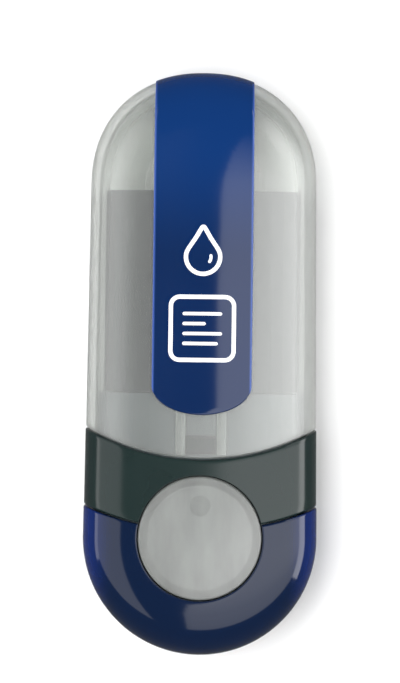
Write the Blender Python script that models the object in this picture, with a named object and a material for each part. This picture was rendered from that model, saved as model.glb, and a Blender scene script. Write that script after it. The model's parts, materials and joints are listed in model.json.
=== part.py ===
"""Flat self-inking pocket stamp, lying on its back with its cap on and its handle pushed in.

The stamp is as long as +Y: the cap covers the +Y end, and the round handle with its push button is the -Y
end. +Z points out of the front. The origin is under the middle of the object, on the surface it lies on.
The die faces +Y. As the handle springs out towards -Y it takes the die carrier with it, and a pin in a cam
slot turns the carrier half a turn, until the die meets the ink pad.

Run it with blender --background --python part.py, or from the text editor.
"""

import math

import bmesh
import bpy
from mathutils import Matrix, Vector

MM = 0.001

# Outer form ---------------------------------------------------------------------------------------
LENGTH = 85.6 * MM
WIDTH = 34.4 * MM
THICKNESS = 22.0 * MM
CAP_DRAFT = 0.5 * MM  # the half width that the skin loses towards the tip of the cap
CROWN = 1.2 * MM  # how far the front falls from its ridge to its sides
BACK_BULGE = 0.35 * MM  # what the back would bulge by if it were not cut flat
SECTION_POWER = 4.0
TIP_POWER = 2.2
HANDLE_POWER = 2.0

# Walls and running gaps ---------------------------------------------------------------------------
SHELL_WALL = 1.3 * MM
SLEEVE_WALL = 1.0 * MM
SLIDER_WALL = 0.95 * MM
SIDE_GAP = 0.35 * MM  # between the skins' inside and the sleeve
SLIDE_GAP = 0.2 * MM  # between pieces that slide on each other
SEAM_GAP = 0.2 * MM  # between pieces that butt
CAP_STEP = 0.12 * MM  # the cap lies this far under the handle's surface
COLLAR_STEP = 0.06 * MM

# Curved seams: both are arcs about one point on the long axis ---------------------------------------
SEAM_CENTRE_REACH = 46.4 * MM  # from the centre of the round end to the seams' centre
CAP_SEAM_RADIUS = 34.65 * MM
HANDLE_SEAM_RADIUS = 45.0 * MM

# Base frame, die and ink pad ----------------------------------------------------------------------
FOOT_INSET = 0.7 * MM  # the foot stops this far short of the centre of the cap's tip
FRAME_WIDTH = 28.5 * MM
FRAME_WALL = 1.0 * MM
STROKE = 16.5 * MM
DIE_WIDTH = 23.2 * MM
DIE_HEIGHT = 9.0 * MM
DIE_THICKNESS = 1.95 * MM
DIE_REACH = 4.4 * MM  # from the carrier's axis to the printing face
CUSHION_THICKNESS = 0.85 * MM
CARRIER_BACK = 1.9 * MM  # how far the carrier reaches behind its axis
CARRIER_HEIGHT = 8.4 * MM
CARRIER_ROUND = 0.35 * MM
CARRIER_CLEARANCE = 0.3 * MM
GLUE_GAP = 0.05 * MM
FOOT_RECESS = 0.1 * MM  # the die stands this far inside the foot
AXLE_RADIUS = 0.9 * MM
CAM_PIN_RADIUS = 0.7 * MM
CAM_BEND_MARGIN = 1.2  # the cam slot's tightest bend over its half width
CAM_PIN_DEPTH = 1.4 * MM
CAM_PLAY = 0.25 * MM
PIN_PLAY = 0.06 * MM
PAD_THICKNESS = 2.8 * MM
PAD_ROUND = 0.3 * MM
PAD_PROUD = 0.25 * MM
PAD_TOUCH_GAP = 0.15 * MM
TRAY_WALL = 0.85 * MM
TRAY_DEPTH = 3.6 * MM
TRAY_MARGIN = 1.4 * MM  # the tray is this much taller than the carrier at each side
SHELF_WIDTH = 14.0 * MM
SHELF_LENGTH = 1.2 * MM

# Yoke ---------------------------------------------------------------------------------------------
ARM_THICKNESS = 0.75 * MM
ARM_HEIGHT = 3.8 * MM
CROSSBAR_OFFSET = 1.0 * MM  # from the button's centre towards the foot
CROSSBAR_THICKNESS = 1.5 * MM
CROSSBAR_LIFT = 2.0 * MM  # the crossbar's lower edge above the slider's floor

# Handle, sleeve and slider ------------------------------------------------------------------------
SLEEVE_TAIL = 2.0 * MM  # how far the sleeve runs past the button's centre
TAIL_ROOM = 0.6 * MM  # between the sleeve's tail and the thick end of the handle
SLIDER_FRONT_GAP = 0.5 * MM  # between the slider and the frame
KEY_SPACING = 6.0 * MM
KEY_WIDTH = 1.4 * MM
KEY_DEPTH = 0.6 * MM
KEY_START_GAP = 0.5 * MM  # from the frame's end

# Button and latch ---------------------------------------------------------------------------------
BUTTON_RADIUS = 9.0 * MM
BUTTON_SHIFT = 0.2 * MM  # the button's centre lies this far above the centre of the round end
BUTTON_DOME = 0.7 * MM
BUTTON_PLATE = 1.3 * MM
BUTTON_SKIRT = 1.0 * MM
STEM_RADIUS = 1.5 * MM
STEM_OFFSET = 4.7 * MM  # from the button's centre towards the foot
WELL_WALL = 0.9 * MM
WELL_FLOOR_Z = 14.9 * MM
WELL_FLOOR = 1.0 * MM
LEVER_PIVOT_OFFSET = 5.2 * MM  # from the button's centre, away from the foot
LEVER_WIDTH = 4.4 * MM
LEVER_THICKNESS = 1.6 * MM
LEVER_Z = 15.8 * MM
HOOK_OFFSET = 2.05 * MM  # from the cap's edge towards the foot
HOOK_LENGTH = 1.6 * MM
HOOK_WINDOW_PLAY = 0.6 * MM
LATCH_PIN_RADIUS = 0.6 * MM
LUG_THICKNESS = 1.2 * MM
LUG_LENGTH = 2.8 * MM
LUG_RISE = 0.6 * MM  # how far the lugs stand over the lever
KNUCKLE_RISE = 0.3 * MM  # how far the lever's knuckle is thicker than its bar, at each side

# Springs ------------------------------------------------------------------------------------------
MAIN_SPRING_X = 7.5 * MM
MAIN_SPRING_Z = 8.6 * MM
MAIN_SPRING_RADIUS = 2.7 * MM
MAIN_SPRING_WIRE = 0.6 * MM
MAIN_SPRING_TURNS = 11
LATCH_SPRING_RADIUS = 1.7 * MM
LATCH_SPRING_WIRE = 0.45 * MM
LATCH_SPRING_TURNS = 6
POINTS_PER_TURN = 10

# Colour strip on the cap --------------------------------------------------------------------------
STRIP_WIDTH = 14.6 * MM
STRIP_END_OFFSET = 6.45 * MM  # from the cap's edge towards the tip
STRIP_END_DEPTH = 4.25 * MM  # each end of the strip is half an ellipse this deep
STRIP_BACK_OFFSET = 6.85 * MM  # from the centre of the tip
STRIP_THICKNESS = 0.8 * MM
STRIP_PROUD = 0.1 * MM
STRIP_BED_GAP = 0.15 * MM
STRIP_SIDE_GAP = 0.15 * MM
STRIP_TONGUE_LAP = 0.5 * MM  # the front and back tongues of its outline pass each other by this

# Values that follow from those above ----------------------------------------------------------------
HALF_WIDTH = WIDTH / 2
MIDDLE_Z = THICKNESS / 2
HANDLE_CENTRE_Y = HALF_WIDTH - LENGTH / 2
TIP_HALF_WIDTH = HALF_WIDTH - CAP_DRAFT
TIP_CENTRE_Y = LENGTH / 2 - TIP_HALF_WIDTH - STRIP_PROUD
CAP_INSIDE = CAP_STEP + SHELL_WALL
COLLAR_INSIDE = CAP_INSIDE
SLEEVE_OUTSIDE = CAP_INSIDE + SIDE_GAP
SLEEVE_INSIDE = SLEEVE_OUTSIDE + SLEEVE_WALL
SLIDER_OUTSIDE = SLEEVE_INSIDE + SLIDE_GAP
SLIDER_INSIDE = SLIDER_OUTSIDE + SLIDER_WALL
BUTTON_Y = HANDLE_CENTRE_Y + BUTTON_SHIFT
STEM_Y = BUTTON_Y + STEM_OFFSET
LEVER_PIVOT_Y = BUTTON_Y - LEVER_PIVOT_OFFSET
CROSSBAR_Y = BUTTON_Y + CROSSBAR_OFFSET
SLEEVE_END_Y = BUTTON_Y - SLEEVE_TAIL
SEAM_CENTRE_Y = HANDLE_CENTRE_Y + SEAM_CENTRE_REACH
CAP_EDGE_Y = SEAM_CENTRE_Y - CAP_SEAM_RADIUS
HOOK_Y = CAP_EDGE_Y + HOOK_OFFSET
STRIP_END_Y = CAP_EDGE_Y + STRIP_END_OFFSET
STRIP_BACK_Y = TIP_CENTRE_Y + STRIP_BACK_OFFSET
FOOT_Y = TIP_CENTRE_Y - FOOT_INSET
DIE_AXIS_Y = FOOT_Y - FOOT_RECESS - DIE_REACH
PAD_FACE_Y = DIE_AXIS_Y - STROKE - DIE_REACH - PAD_TOUCH_GAP
TRAY_FACE_Y = PAD_FACE_Y - PAD_PROUD
FRAME_END_Y = TRAY_FACE_Y - TRAY_DEPTH
KEY_START_Y = FRAME_END_Y - KEY_START_GAP
FRAME_INSIDE = FRAME_WIDTH / 2 - FRAME_WALL
CARRIER_WIDTH = DIE_WIDTH + 2 * CARRIER_CLEARANCE
ARM_INSIDE = CARRIER_WIDTH / 2 + CARRIER_CLEARANCE
TRAY_HEIGHT = CARRIER_HEIGHT + 2 * TRAY_MARGIN
FAR = LENGTH  # longer than anything it has to cut

# The cam arm, from the carrier's axis to the cam pins, is as long as the slot's bend at each end allows:
# there the pin's path has the radius (stroke - pi * arm)^2 / (pi^2 * arm).
CAM_BEND = math.pi * CAM_BEND_MARGIN * (CAM_PIN_RADIUS + CAM_PLAY)
CAM_ARM = (2 * STROKE + CAM_BEND - math.sqrt((2 * STROKE + CAM_BEND) ** 2 - 4 * STROKE**2)) / (2 * math.pi)

OUTLINE_STEPS = 24  # along each half round end
STRIP_END_STEPS = 20
SECTION_STEPS = 9
RIM_SHARE = 0.996
HOLE_SIDES = 48
SEAM_SIDES = 144
PIN_SIDES = 16
STEM_SIDES = 24
KNUCKLE_SIDES = 24
DOME_STEPS = 6
CAM_PATH_STEPS = 24
ARM_END_STEPS = 12
WELD = 1e-6  # points closer together than this are one


# Materials ----------------------------------------------------------------------------------------
def material(name, colour, roughness, metallic=0.0, alpha=1.0):
    """A Principled material; colour is linear red, green and blue."""
    made = bpy.data.materials.new(name)
    made.use_nodes = True
    shader = made.node_tree.nodes["Principled BSDF"]
    shader.inputs["Base Color"].default_value = (*colour, 1.0)
    shader.inputs["Roughness"].default_value = roughness
    shader.inputs["Metallic"].default_value = metallic
    shader.inputs["Alpha"].default_value = alpha
    made.diffuse_color = (*colour, alpha)
    return made


def make_materials():
    return {
        "milky": material("milky_polypropylene", (0.66, 0.67, 0.65), 0.35),
        "blue": material("blue_gloss_abs", (0.006, 0.032, 0.22), 0.12),
        "navy": material("navy_gloss_abs", (0.008, 0.02, 0.1), 0.12),
        "graphite": material("graphite_abs", (0.035, 0.05, 0.05), 0.25),
        "grey": material("grey_abs", (0.2, 0.22, 0.22), 0.45),
        "black": material("black_acetal", (0.02, 0.02, 0.022), 0.4),
        "rubber": material("die_rubber", (0.32, 0.1, 0.07), 0.7),
        "foam": material("white_foam", (0.75, 0.74, 0.7), 0.9),
        "pad": material("inked_felt", (0.01, 0.012, 0.09), 0.85),
        "steel": material("bright_steel", (0.6, 0.6, 0.62), 0.3, metallic=1.0),
    }


# Scene --------------------------------------------------------------------------------------------
def clear_scene():
    for old in list(bpy.data.objects):
        bpy.data.objects.remove(old)


def make_collection(name):
    made = bpy.data.collections.new(name)
    bpy.context.scene.collection.children.link(made)
    return made


class Bench:
    """Where the pieces and the cutters are kept, with the materials and the parent empties."""

    def __init__(self):
        clear_scene()
        self.pieces = make_collection("pocket_stamp")
        self.cutters = make_collection("cutters")
        self.materials = make_materials()
        self.cutter_count = 0
        self.shared = {}

    def empty(self, name, place, parent=None):
        """The origin of a body, on its joint's axis."""
        made = bpy.data.objects.new(name, None)
        made.location = place
        made.empty_display_size = 4 * MM
        self.pieces.objects.link(made)
        if parent:
            made.parent = parent
            made.location = Vector(place) - parent.matrix_world.translation
        bpy.context.view_layer.update()
        return made

    def piece(self, name, mesh, finish, parent):
        """A named sub-part whose mesh is given in world space; its origin is its parent's."""
        made = bpy.data.objects.new(name, mesh)
        mesh.name = name
        origin = parent.matrix_world.translation
        mesh.transform(Matrix.Translation(-origin))
        made.parent = parent
        mesh.materials.clear()
        mesh.materials.append(self.materials[finish])
        self.pieces.objects.link(made)
        smooth(mesh)
        return made

    def cutter(self, mesh):
        """A hidden helper that Booleans use."""
        self.cutter_count += 1
        made = bpy.data.objects.new(f"cutter_{self.cutter_count:02d}", mesh)
        made.hide_render = True
        made.display_type = "WIRE"
        self.cutters.objects.link(made)
        return made

    def core(self, inset):
        """The solid inside the sleeve's sides at this depth, made once for each depth."""
        if inset not in self.shared:
            self.shared[inset] = self.cutter(core_mesh(inset))
        return self.shared[inset]


def smooth(mesh):
    mesh.shade_smooth()
    mesh.set_sharp_from_angle(angle=math.radians(35))


def boolean(target, cutter, operation="DIFFERENCE"):
    """Cuts, joins or intersects target with cutter, as a live modifier."""
    modifier = target.modifiers.new(operation.lower(), "BOOLEAN")
    modifier.operation = operation
    modifier.object = cutter
    return target


# Shapes -------------------------------------------------------------------------------------------
def mesh_from(bm):
    made = bpy.data.meshes.new("shape")
    bm.to_mesh(made)
    bm.free()
    return made


def box(low, high):
    bm = bmesh.new()
    bmesh.ops.create_cube(bm, size=1)
    low, high = Vector(low), Vector(high)
    size = high - low
    bmesh.ops.scale(bm, vec=size, verts=bm.verts)
    bmesh.ops.translate(bm, vec=(low + high) / 2, verts=bm.verts)
    return mesh_from(bm)


def cylinder(radius, start, end, sides=HOLE_SIDES):
    """A cylinder from one point to another."""
    start, end = Vector(start), Vector(end)
    along = end - start
    bm = bmesh.new()
    bmesh.ops.create_cone(
        bm, cap_ends=True, segments=sides, radius1=radius, radius2=radius, depth=along.length
    )
    turn = Vector((0, 0, 1)).rotation_difference(along).to_matrix().to_4x4()
    bmesh.ops.transform(bm, matrix=Matrix.Translation((start + end) / 2) @ turn, verts=bm.verts)
    return mesh_from(bm)


def rounded_box(low, high, radius, segments=2):
    """A box with all its edges rounded."""
    bm = bmesh.new()
    bm.from_mesh(box(low, high))
    bmesh.ops.bevel(
        bm, geom=bm.edges[:], offset=radius, segments=segments, profile=0.5, affect="EDGES"
    )
    return mesh_from(bm)


def joined(*meshes):
    """One mesh that holds the closed shells of several; a Boolean union makes them one body."""
    bm = bmesh.new()
    for mesh in meshes:
        bm.from_mesh(mesh)
    return mesh_from(bm)


def section_shares():
    """Places across the half section, close together towards the rim."""
    shares = [math.sin(math.radians(10 * step)) for step in range(SECTION_STEPS)]
    return shares + [RIM_SHARE, 1.0]


def pillow_mesh(handle_half_width, tip_half_width, inset, floor):
    """The stamp's long rounded form, this far inside its skin and cut flat at the height of floor.

    Two half discs with a crowned section are drawn apart along the long axis, and the sides between
    them are straight.
    """
    front = MIDDLE_Z - inset
    back = MIDDLE_Z + BACK_BULGE - inset
    flat = (1 - ((MIDDLE_Z - floor) / back) ** SECTION_POWER) ** (1 / SECTION_POWER)
    shares = section_shares()
    upper = [(share, 1) for share in shares]
    lower = [(share, -1) for share in reversed(shares[:-1]) if share > flat]
    rows = upper + lower + [(flat, -1), (0.0, -1)]
    columns = 2 * (OUTLINE_STEPS + 1)

    def height(share, side):
        rise = (1 - share**SECTION_POWER) ** (1 / SECTION_POWER)
        if side > 0:
            return MIDDLE_Z + (front - CROWN * share**2) * rise
        return max(MIDDLE_Z - back * rise, floor)

    def outline(column):
        half, step = divmod(column % columns, OUTLINE_STEPS + 1)
        angle = math.pi * step / OUTLINE_STEPS + math.pi * half
        power, half_width, centre = (
            (HANDLE_POWER, handle_half_width, HANDLE_CENTRE_Y)
            if half
            else (TIP_POWER, tip_half_width, TIP_CENTRE_Y)
        )
        across = math.copysign(abs(math.cos(angle)) ** (2 / power), math.cos(angle))
        along = math.copysign(abs(math.sin(angle)) ** (2 / power), math.sin(angle))
        return half_width * across, half_width * along, centre

    bm = bmesh.new()
    bmesh.ops.create_grid(bm, x_segments=columns, y_segments=len(rows) - 1, size=0.5)
    for vert in bm.verts:
        column = round((vert.co.x + 0.5) * columns)
        share, side = rows[round((vert.co.y + 0.5) * (len(rows) - 1))]
        across, along, centre = outline(column)
        vert.co = (share * across, centre + share * along, height(share, side))
    bmesh.ops.remove_doubles(bm, verts=bm.verts, dist=WELD)
    bmesh.ops.recalc_face_normals(bm, faces=bm.faces)
    return mesh_from(bm)


def skin_mesh(inset, floor=0.0):
    """The outer form, whose sides draw in towards the cap's tip."""
    return pillow_mesh(HALF_WIDTH - inset, TIP_HALF_WIDTH - inset, inset, floor)


def core_mesh(inset):
    """The form of the pieces inside, whose sides are parallel so that they can slide."""
    draft_share = (CAP_EDGE_Y - HANDLE_CENTRE_Y) / (TIP_CENTRE_Y - HANDLE_CENTRE_Y)
    half_width = HALF_WIDTH - CAP_DRAFT * draft_share - inset
    return pillow_mesh(half_width, half_width, inset, inset)


def seam_region(bench, radius):
    """A cutter that takes everything on the tip's side of one of the two curved seams."""
    disc = cylinder(radius, (0, SEAM_CENTRE_Y, -FAR), (0, SEAM_CENTRE_Y, FAR), sides=SEAM_SIDES)
    beyond = box((-FAR, SEAM_CENTRE_Y, -THICKNESS), (FAR, 2 * FAR, 2 * THICKNESS))
    return boolean(bench.cutter(disc), bench.cutter(beyond), "UNION")


def outline_prism(points, low_z, high_z):
    """A flat outline in X and Y, drawn up from low_z to high_z."""
    curve = bpy.data.curves.new("outline", "CURVE")
    curve.dimensions = "2D"
    curve.fill_mode = "BOTH"
    curve.extrude = (high_z - low_z) / 2
    spline = curve.splines.new("POLY")
    spline.points.add(len(points) - 1)
    for point, (x, y) in zip(spline.points, points):
        point.co = (x, y, 0, 1)
    spline.use_cyclic_u = True
    return curve_to_mesh(curve, Matrix.Translation((0, 0, (low_z + high_z) / 2)))


def side_prism(points, low_x, high_x):
    """A flat outline in Y and Z, drawn along X from low_x to high_x."""
    prism = outline_prism(points, low_x, high_x)
    prism.transform(Matrix(((0, 0, 1, 0), (1, 0, 0, 0), (0, 1, 0, 0), (0, 0, 0, 1))))
    return prism


def curve_to_mesh(curve, place=Matrix.Identity(4)):
    """The closed mesh of a curve, with its caps welded to its sides, in world space."""
    guide = bpy.data.objects.new("guide", curve)
    bpy.context.scene.collection.objects.link(guide)
    bpy.context.view_layer.update()
    graph = bpy.context.evaluated_depsgraph_get()
    raw = bpy.data.meshes.new_from_object(guide.evaluated_get(graph))
    bpy.data.objects.remove(guide)
    raw.transform(place)
    bm = bmesh.new()
    bm.from_mesh(raw)
    bmesh.ops.remove_doubles(bm, verts=bm.verts, dist=WELD)
    bmesh.ops.recalc_face_normals(bm, faces=bm.faces)
    return mesh_from(bm)


def coil_mesh(start, end, radius, wire, turns):
    """A compression spring with closed ends, from one seat to the other."""
    start, end = Vector(start), Vector(end)
    along = end - start
    length = along.length - wire
    turn = Vector((0, 0, 1)).rotation_difference(along)
    curve = bpy.data.curves.new("coil", "CURVE")
    curve.dimensions = "3D"
    curve.bevel_depth = wire / 2
    curve.bevel_resolution = 2
    curve.use_fill_caps = True
    spline = curve.splines.new("POLY")
    count = turns * POINTS_PER_TURN
    spline.points.add(count)
    end_turn = wire * 1.1 / length  # the first and last turns lie on the seats
    for index, point in enumerate(spline.points):
        turned = index / POINTS_PER_TURN
        middle = (turned - 1) / (turns - 2)
        share = end_turn + (1 - 2 * end_turn) * middle
        share = min(max(share, end_turn * turned), 1 - end_turn * (turns - turned))
        angle = 2 * math.pi * turned
        offset = Vector((radius * math.cos(angle), radius * math.sin(angle), 0))
        place = start + turn @ (offset + Vector((0, 0, wire / 2 + share * length)))
        point.co = (*place, 1)
    return curve_to_mesh(curve)


# Cap ----------------------------------------------------------------------------------------------
def strip_region(grow):
    """The space of the colour strip: down the front, round the tip and a little way up the back."""
    half = STRIP_WIDTH / 2 + grow
    depth = STRIP_END_DEPTH + grow

    def tongue(end_y, low_z, high_z):
        centre_y = end_y - grow + depth
        turns = [math.pi * step / STRIP_END_STEPS for step in range(STRIP_END_STEPS + 1)]
        bend = [(-half * math.cos(turn), centre_y - depth * math.sin(turn)) for turn in turns]
        return outline_prism(bend + [(half, FAR), (-half, FAR)], low_z, high_z)

    front = tongue(STRIP_END_Y, MIDDLE_Z - STRIP_TONGUE_LAP, FAR)
    back = tongue(STRIP_BACK_Y, -FAR, MIDDLE_Z)
    return front, back


def add_strip_region(bench, grow):
    front, back = strip_region(grow)
    return boolean(bench.cutter(front), bench.cutter(back), "UNION")


def key_boxes(width, low_z, start_y, end_y):
    """Two bars side by side on the front, one each side of the long axis."""
    return [
        box(
            (side * KEY_SPACING / 2 - width / 2, end_y, low_z),
            (side * KEY_SPACING / 2 + width / 2, start_y, FAR),
        )
        for side in (-1, 1)
    ]


def make_cap(bench, body):
    shell = bench.piece("cap_shell", skin_mesh(CAP_STEP), "milky", body)
    inside = bench.cutter(skin_mesh(CAP_INSIDE, CAP_INSIDE))
    for rib in key_boxes(KEY_WIDTH, THICKNESS - CAP_INSIDE - KEY_DEPTH, KEY_START_Y, -FAR):
        boolean(inside, bench.cutter(rib))
    recess = add_strip_region(bench, STRIP_SIDE_GAP)
    bed = STRIP_THICKNESS - STRIP_PROUD + STRIP_BED_GAP
    boolean(recess, bench.cutter(skin_mesh(bed, bed)))
    boolean(shell, seam_region(bench, CAP_SEAM_RADIUS - SEAM_GAP / 2), "INTERSECT")
    boolean(shell, inside)
    boolean(shell, recess)

    strip = bench.piece("cap_strip", skin_mesh(-STRIP_PROUD), "blue", body)
    under = STRIP_THICKNESS - STRIP_PROUD
    boolean(strip, add_strip_region(bench, 0.0), "INTERSECT")
    boolean(strip, bench.cutter(skin_mesh(under, under)))


# Frame --------------------------------------------------------------------------------------------
def frame_block(half_width, low_y, high_y):
    return box((-half_width, low_y, -FAR), (half_width, high_y, FAR))


def cam_path(count):
    """The path of the cam pin's centre in Y and Z as the handle moves out, as a list of points."""
    path = []
    for step in range(count + 1):
        share = step / count
        angle = math.pi * (share - 0.5)
        y = DIE_AXIS_Y - STROKE * share + CAM_ARM * math.cos(angle)
        path.append(Vector((y, MIDDLE_Z + CAM_ARM * math.sin(angle))))
    return path


def slot_outline(path, half_width, cap_steps=6):
    """The outline of a slot of this width along a path, with round ends."""
    ends = ((path[0], path[0] - path[1]), (path[-1], path[-1] - path[-2]))
    sides = []
    for sign in (1, -1):
        line = []
        for index, point in enumerate(path):
            before, after = path[max(index - 1, 0)], path[min(index + 1, len(path) - 1)]
            along = (after - before).normalized()
            line.append(point + sign * half_width * Vector((-along.y, along.x)))
        sides.append(line)
    caps = []
    for centre, outward in ends:
        facing = math.atan2(outward.y, outward.x)
        caps.append(
            [
                centre
                + half_width
                * Vector(
                    (
                        math.cos(facing + math.pi * (step / cap_steps - 0.5)),
                        math.sin(facing + math.pi * (step / cap_steps - 0.5)),
                    )
                )
                for step in range(1, cap_steps)
            ]
        )
    return sides[1] + caps[1] + sides[0][::-1] + caps[0]


def cam_slot_cutter(bench):
    """One cutter for the slots in both side walls."""
    half_width = CAM_PIN_RADIUS + CAM_PLAY
    return bench.cutter(side_prism(slot_outline(cam_path(CAM_PATH_STEPS), half_width), -FAR, FAR))


def cut_key_grooves(bench, target):
    depth = THICKNESS - CAP_INSIDE - KEY_DEPTH - SLIDE_GAP
    for groove in key_boxes(KEY_WIDTH + 2 * SLIDE_GAP, depth, FAR, -FAR):
        boolean(target, bench.cutter(groove))


def make_base_frame(bench, body):
    """The open box that stands on the paper, with a cam slot in each side wall."""
    frame = bench.piece("base_frame", core_mesh(SLEEVE_OUTSIDE), "grey", body)
    block = bench.cutter(frame_block(FRAME_WIDTH / 2, FRAME_END_Y, FOOT_Y))
    boolean(frame, block, "INTERSECT")
    inside = bench.cutter(core_mesh(SLEEVE_OUTSIDE + FRAME_WALL))
    boolean(inside, bench.cutter(frame_block(FRAME_INSIDE, -FAR, FAR)), "INTERSECT")
    shelf_gap = TRAY_HEIGHT / 2 + SLIDE_GAP
    for low_z, high_z in ((MIDDLE_Z + shelf_gap, FAR), (-FAR, MIDDLE_Z - shelf_gap)):
        shelf = box(
            (-SHELF_WIDTH / 2, FRAME_END_Y - MM, low_z),
            (SHELF_WIDTH / 2, FRAME_END_Y + SHELF_LENGTH, high_z),
        )
        boolean(inside, bench.cutter(shelf))
    boolean(frame, inside)
    boolean(frame, cam_slot_cutter(bench))
    cut_key_grooves(bench, frame)


def button_bore(bench, radius, low_z=MIDDLE_Z):
    return bench.cutter(cylinder(radius, (0, BUTTON_Y, low_z), (0, BUTTON_Y, FAR)))


def make_sleeve(bench, body):
    """The tube behind the frame, in which the slider runs; the collar sits on it."""
    sleeve = bench.piece("neck_sleeve", core_mesh(SLEEVE_OUTSIDE), "milky", body)
    boolean(sleeve, bench.cutter(frame_block(FAR, SLEEVE_END_Y, FRAME_END_Y - SEAM_GAP)), "INTERSECT")
    boolean(sleeve, bench.core(SLEEVE_INSIDE))
    clear = BUTTON_RADIUS + SLIDE_GAP
    boolean(sleeve, button_bore(bench, clear))
    way_out = box((-clear, -FAR, MIDDLE_Z), (clear, BUTTON_Y, FAR))
    boolean(sleeve, bench.cutter(way_out))
    half = LEVER_WIDTH / 2 + SLIDE_GAP
    window = box(
        (-half, HOOK_Y - HOOK_LENGTH / 2 - HOOK_WINDOW_PLAY, MIDDLE_Z),
        (half, HOOK_Y + HOOK_LENGTH / 2 + HOOK_WINDOW_PLAY, FAR),
    )
    boolean(sleeve, bench.cutter(window))
    cut_key_grooves(bench, sleeve)


def make_collar(bench, body):
    collar = bench.piece("collar", skin_mesh(COLLAR_STEP), "graphite", body)
    boolean(collar, seam_region(bench, HANDLE_SEAM_RADIUS - SEAM_GAP / 2), "INTERSECT")
    boolean(collar, seam_region(bench, CAP_SEAM_RADIUS + SEAM_GAP / 2))
    boolean(collar, bench.cutter(skin_mesh(COLLAR_INSIDE, COLLAR_INSIDE)))
    boolean(collar, button_bore(bench, BUTTON_RADIUS + SLIDE_GAP))


def make_ink_pad(bench, body):
    half_x = CARRIER_WIDTH / 2
    half_z = TRAY_HEIGHT / 2
    tray = bench.piece(
        "ink_pad_tray",
        box(
            (-half_x, FRAME_END_Y, MIDDLE_Z - half_z),
            (half_x, TRAY_FACE_Y, MIDDLE_Z + half_z),
        ),
        "black",
        body,
    )
    pocket_x, pocket_z = half_x - TRAY_WALL, half_z - TRAY_WALL
    pocket_y = PAD_FACE_Y - PAD_THICKNESS - GLUE_GAP
    pocket = box(
        (-pocket_x, pocket_y, MIDDLE_Z - pocket_z), (pocket_x, FAR, MIDDLE_Z + pocket_z)
    )
    boolean(tray, bench.cutter(pocket))
    pad_x, pad_z = pocket_x - GLUE_GAP, pocket_z - GLUE_GAP
    bench.piece(
        "ink_pad",
        rounded_box(
            (-pad_x, PAD_FACE_Y - PAD_THICKNESS, MIDDLE_Z - pad_z),
            (pad_x, PAD_FACE_Y, MIDDLE_Z + pad_z),
            PAD_ROUND,
        ),
        "pad",
        body,
    )


def make_main_springs(bench, body):
    for side, name in ((-1, "main_spring_left"), (1, "main_spring_right")):
        x = side * MAIN_SPRING_X
        seat = FRAME_END_Y - SEAM_GAP
        coil = coil_mesh(
            (x, CROSSBAR_Y + SEAM_GAP, MAIN_SPRING_Z),
            (x, seat, MAIN_SPRING_Z),
            MAIN_SPRING_RADIUS,
            MAIN_SPRING_WIRE,
            MAIN_SPRING_TURNS,
        )
        bench.piece(name, coil, "steel", body)


# Handle -------------------------------------------------------------------------------------------
def make_handle_shell(bench, body):
    """The round end of the stamp, hollow for the sleeve's tail and thick behind it."""
    shell = bench.piece("handle_shell", skin_mesh(0.0), "navy", body)
    boolean(shell, seam_region(bench, HANDLE_SEAM_RADIUS + SEAM_GAP / 2))
    tail_room = bench.cutter(skin_mesh(COLLAR_INSIDE, COLLAR_INSIDE))
    past_tail = SLEEVE_END_Y - TAIL_ROOM
    boolean(tail_room, bench.cutter(frame_block(FAR, past_tail, FAR)), "INTERSECT")
    boolean(shell, tail_room)
    boolean(shell, bench.core(SLIDER_OUTSIDE - SLIDE_GAP / 2))
    boolean(shell, button_bore(bench, BUTTON_RADIUS + SLIDE_GAP))


def make_slider(bench, body):
    """The tube that runs in the sleeve, with the button's well and the latch's lugs in its front."""
    slider = bench.piece("slider_tube", core_mesh(SLIDER_OUTSIDE), "black", body)
    front_end = FRAME_END_Y - SLIDER_FRONT_GAP
    boolean(slider, bench.cutter(frame_block(FAR, -FAR, front_end)), "INTERSECT")
    inside = bench.cutter(core_mesh(SLIDER_INSIDE))
    well_bottom = WELL_FLOOR_Z - WELL_FLOOR
    boolean(inside, button_bore(bench, BUTTON_RADIUS + SLIDE_GAP + WELL_WALL, well_bottom))
    boolean(slider, inside)

    lug_top = LEVER_Z + LEVER_THICKNESS / 2 + LUG_RISE
    lug_inside = LEVER_WIDTH / 2 + SLIDE_GAP * 2
    well = button_bore(bench, BUTTON_RADIUS + SLIDE_GAP, WELL_FLOOR_Z)
    for side in (-1, 1):
        low_x, high_x = sorted((side * lug_inside, side * (lug_inside + LUG_THICKNESS)))
        lug = box(
            (low_x, LEVER_PIVOT_Y - LUG_LENGTH / 2, MIDDLE_Z),
            (high_x, LEVER_PIVOT_Y + LUG_LENGTH / 2, lug_top),
        )
        boolean(well, bench.cutter(lug))
    boolean(slider, well)

    slot = box(
        (-lug_inside, LEVER_PIVOT_Y - LUG_LENGTH / 2, MIDDLE_Z),
        (lug_inside, HOOK_Y + HOOK_LENGTH / 2 + SLIDE_GAP, lug_top),
    )
    boolean(slider, bench.cutter(slot))
    window = box(
        (-lug_inside, HOOK_Y - HOOK_LENGTH, MIDDLE_Z),
        (lug_inside, HOOK_Y + HOOK_LENGTH / 2 + SLIDE_GAP, FAR),
    )
    boolean(slider, bench.cutter(window))
    reach = lug_inside + LUG_THICKNESS + MM
    pin_hole = cylinder(
        LATCH_PIN_RADIUS + PIN_PLAY,
        (-reach, LEVER_PIVOT_Y, LEVER_Z),
        (reach, LEVER_PIVOT_Y, LEVER_Z),
        sides=PIN_SIDES,
    )
    boolean(slider, bench.cutter(pin_hole))


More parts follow.
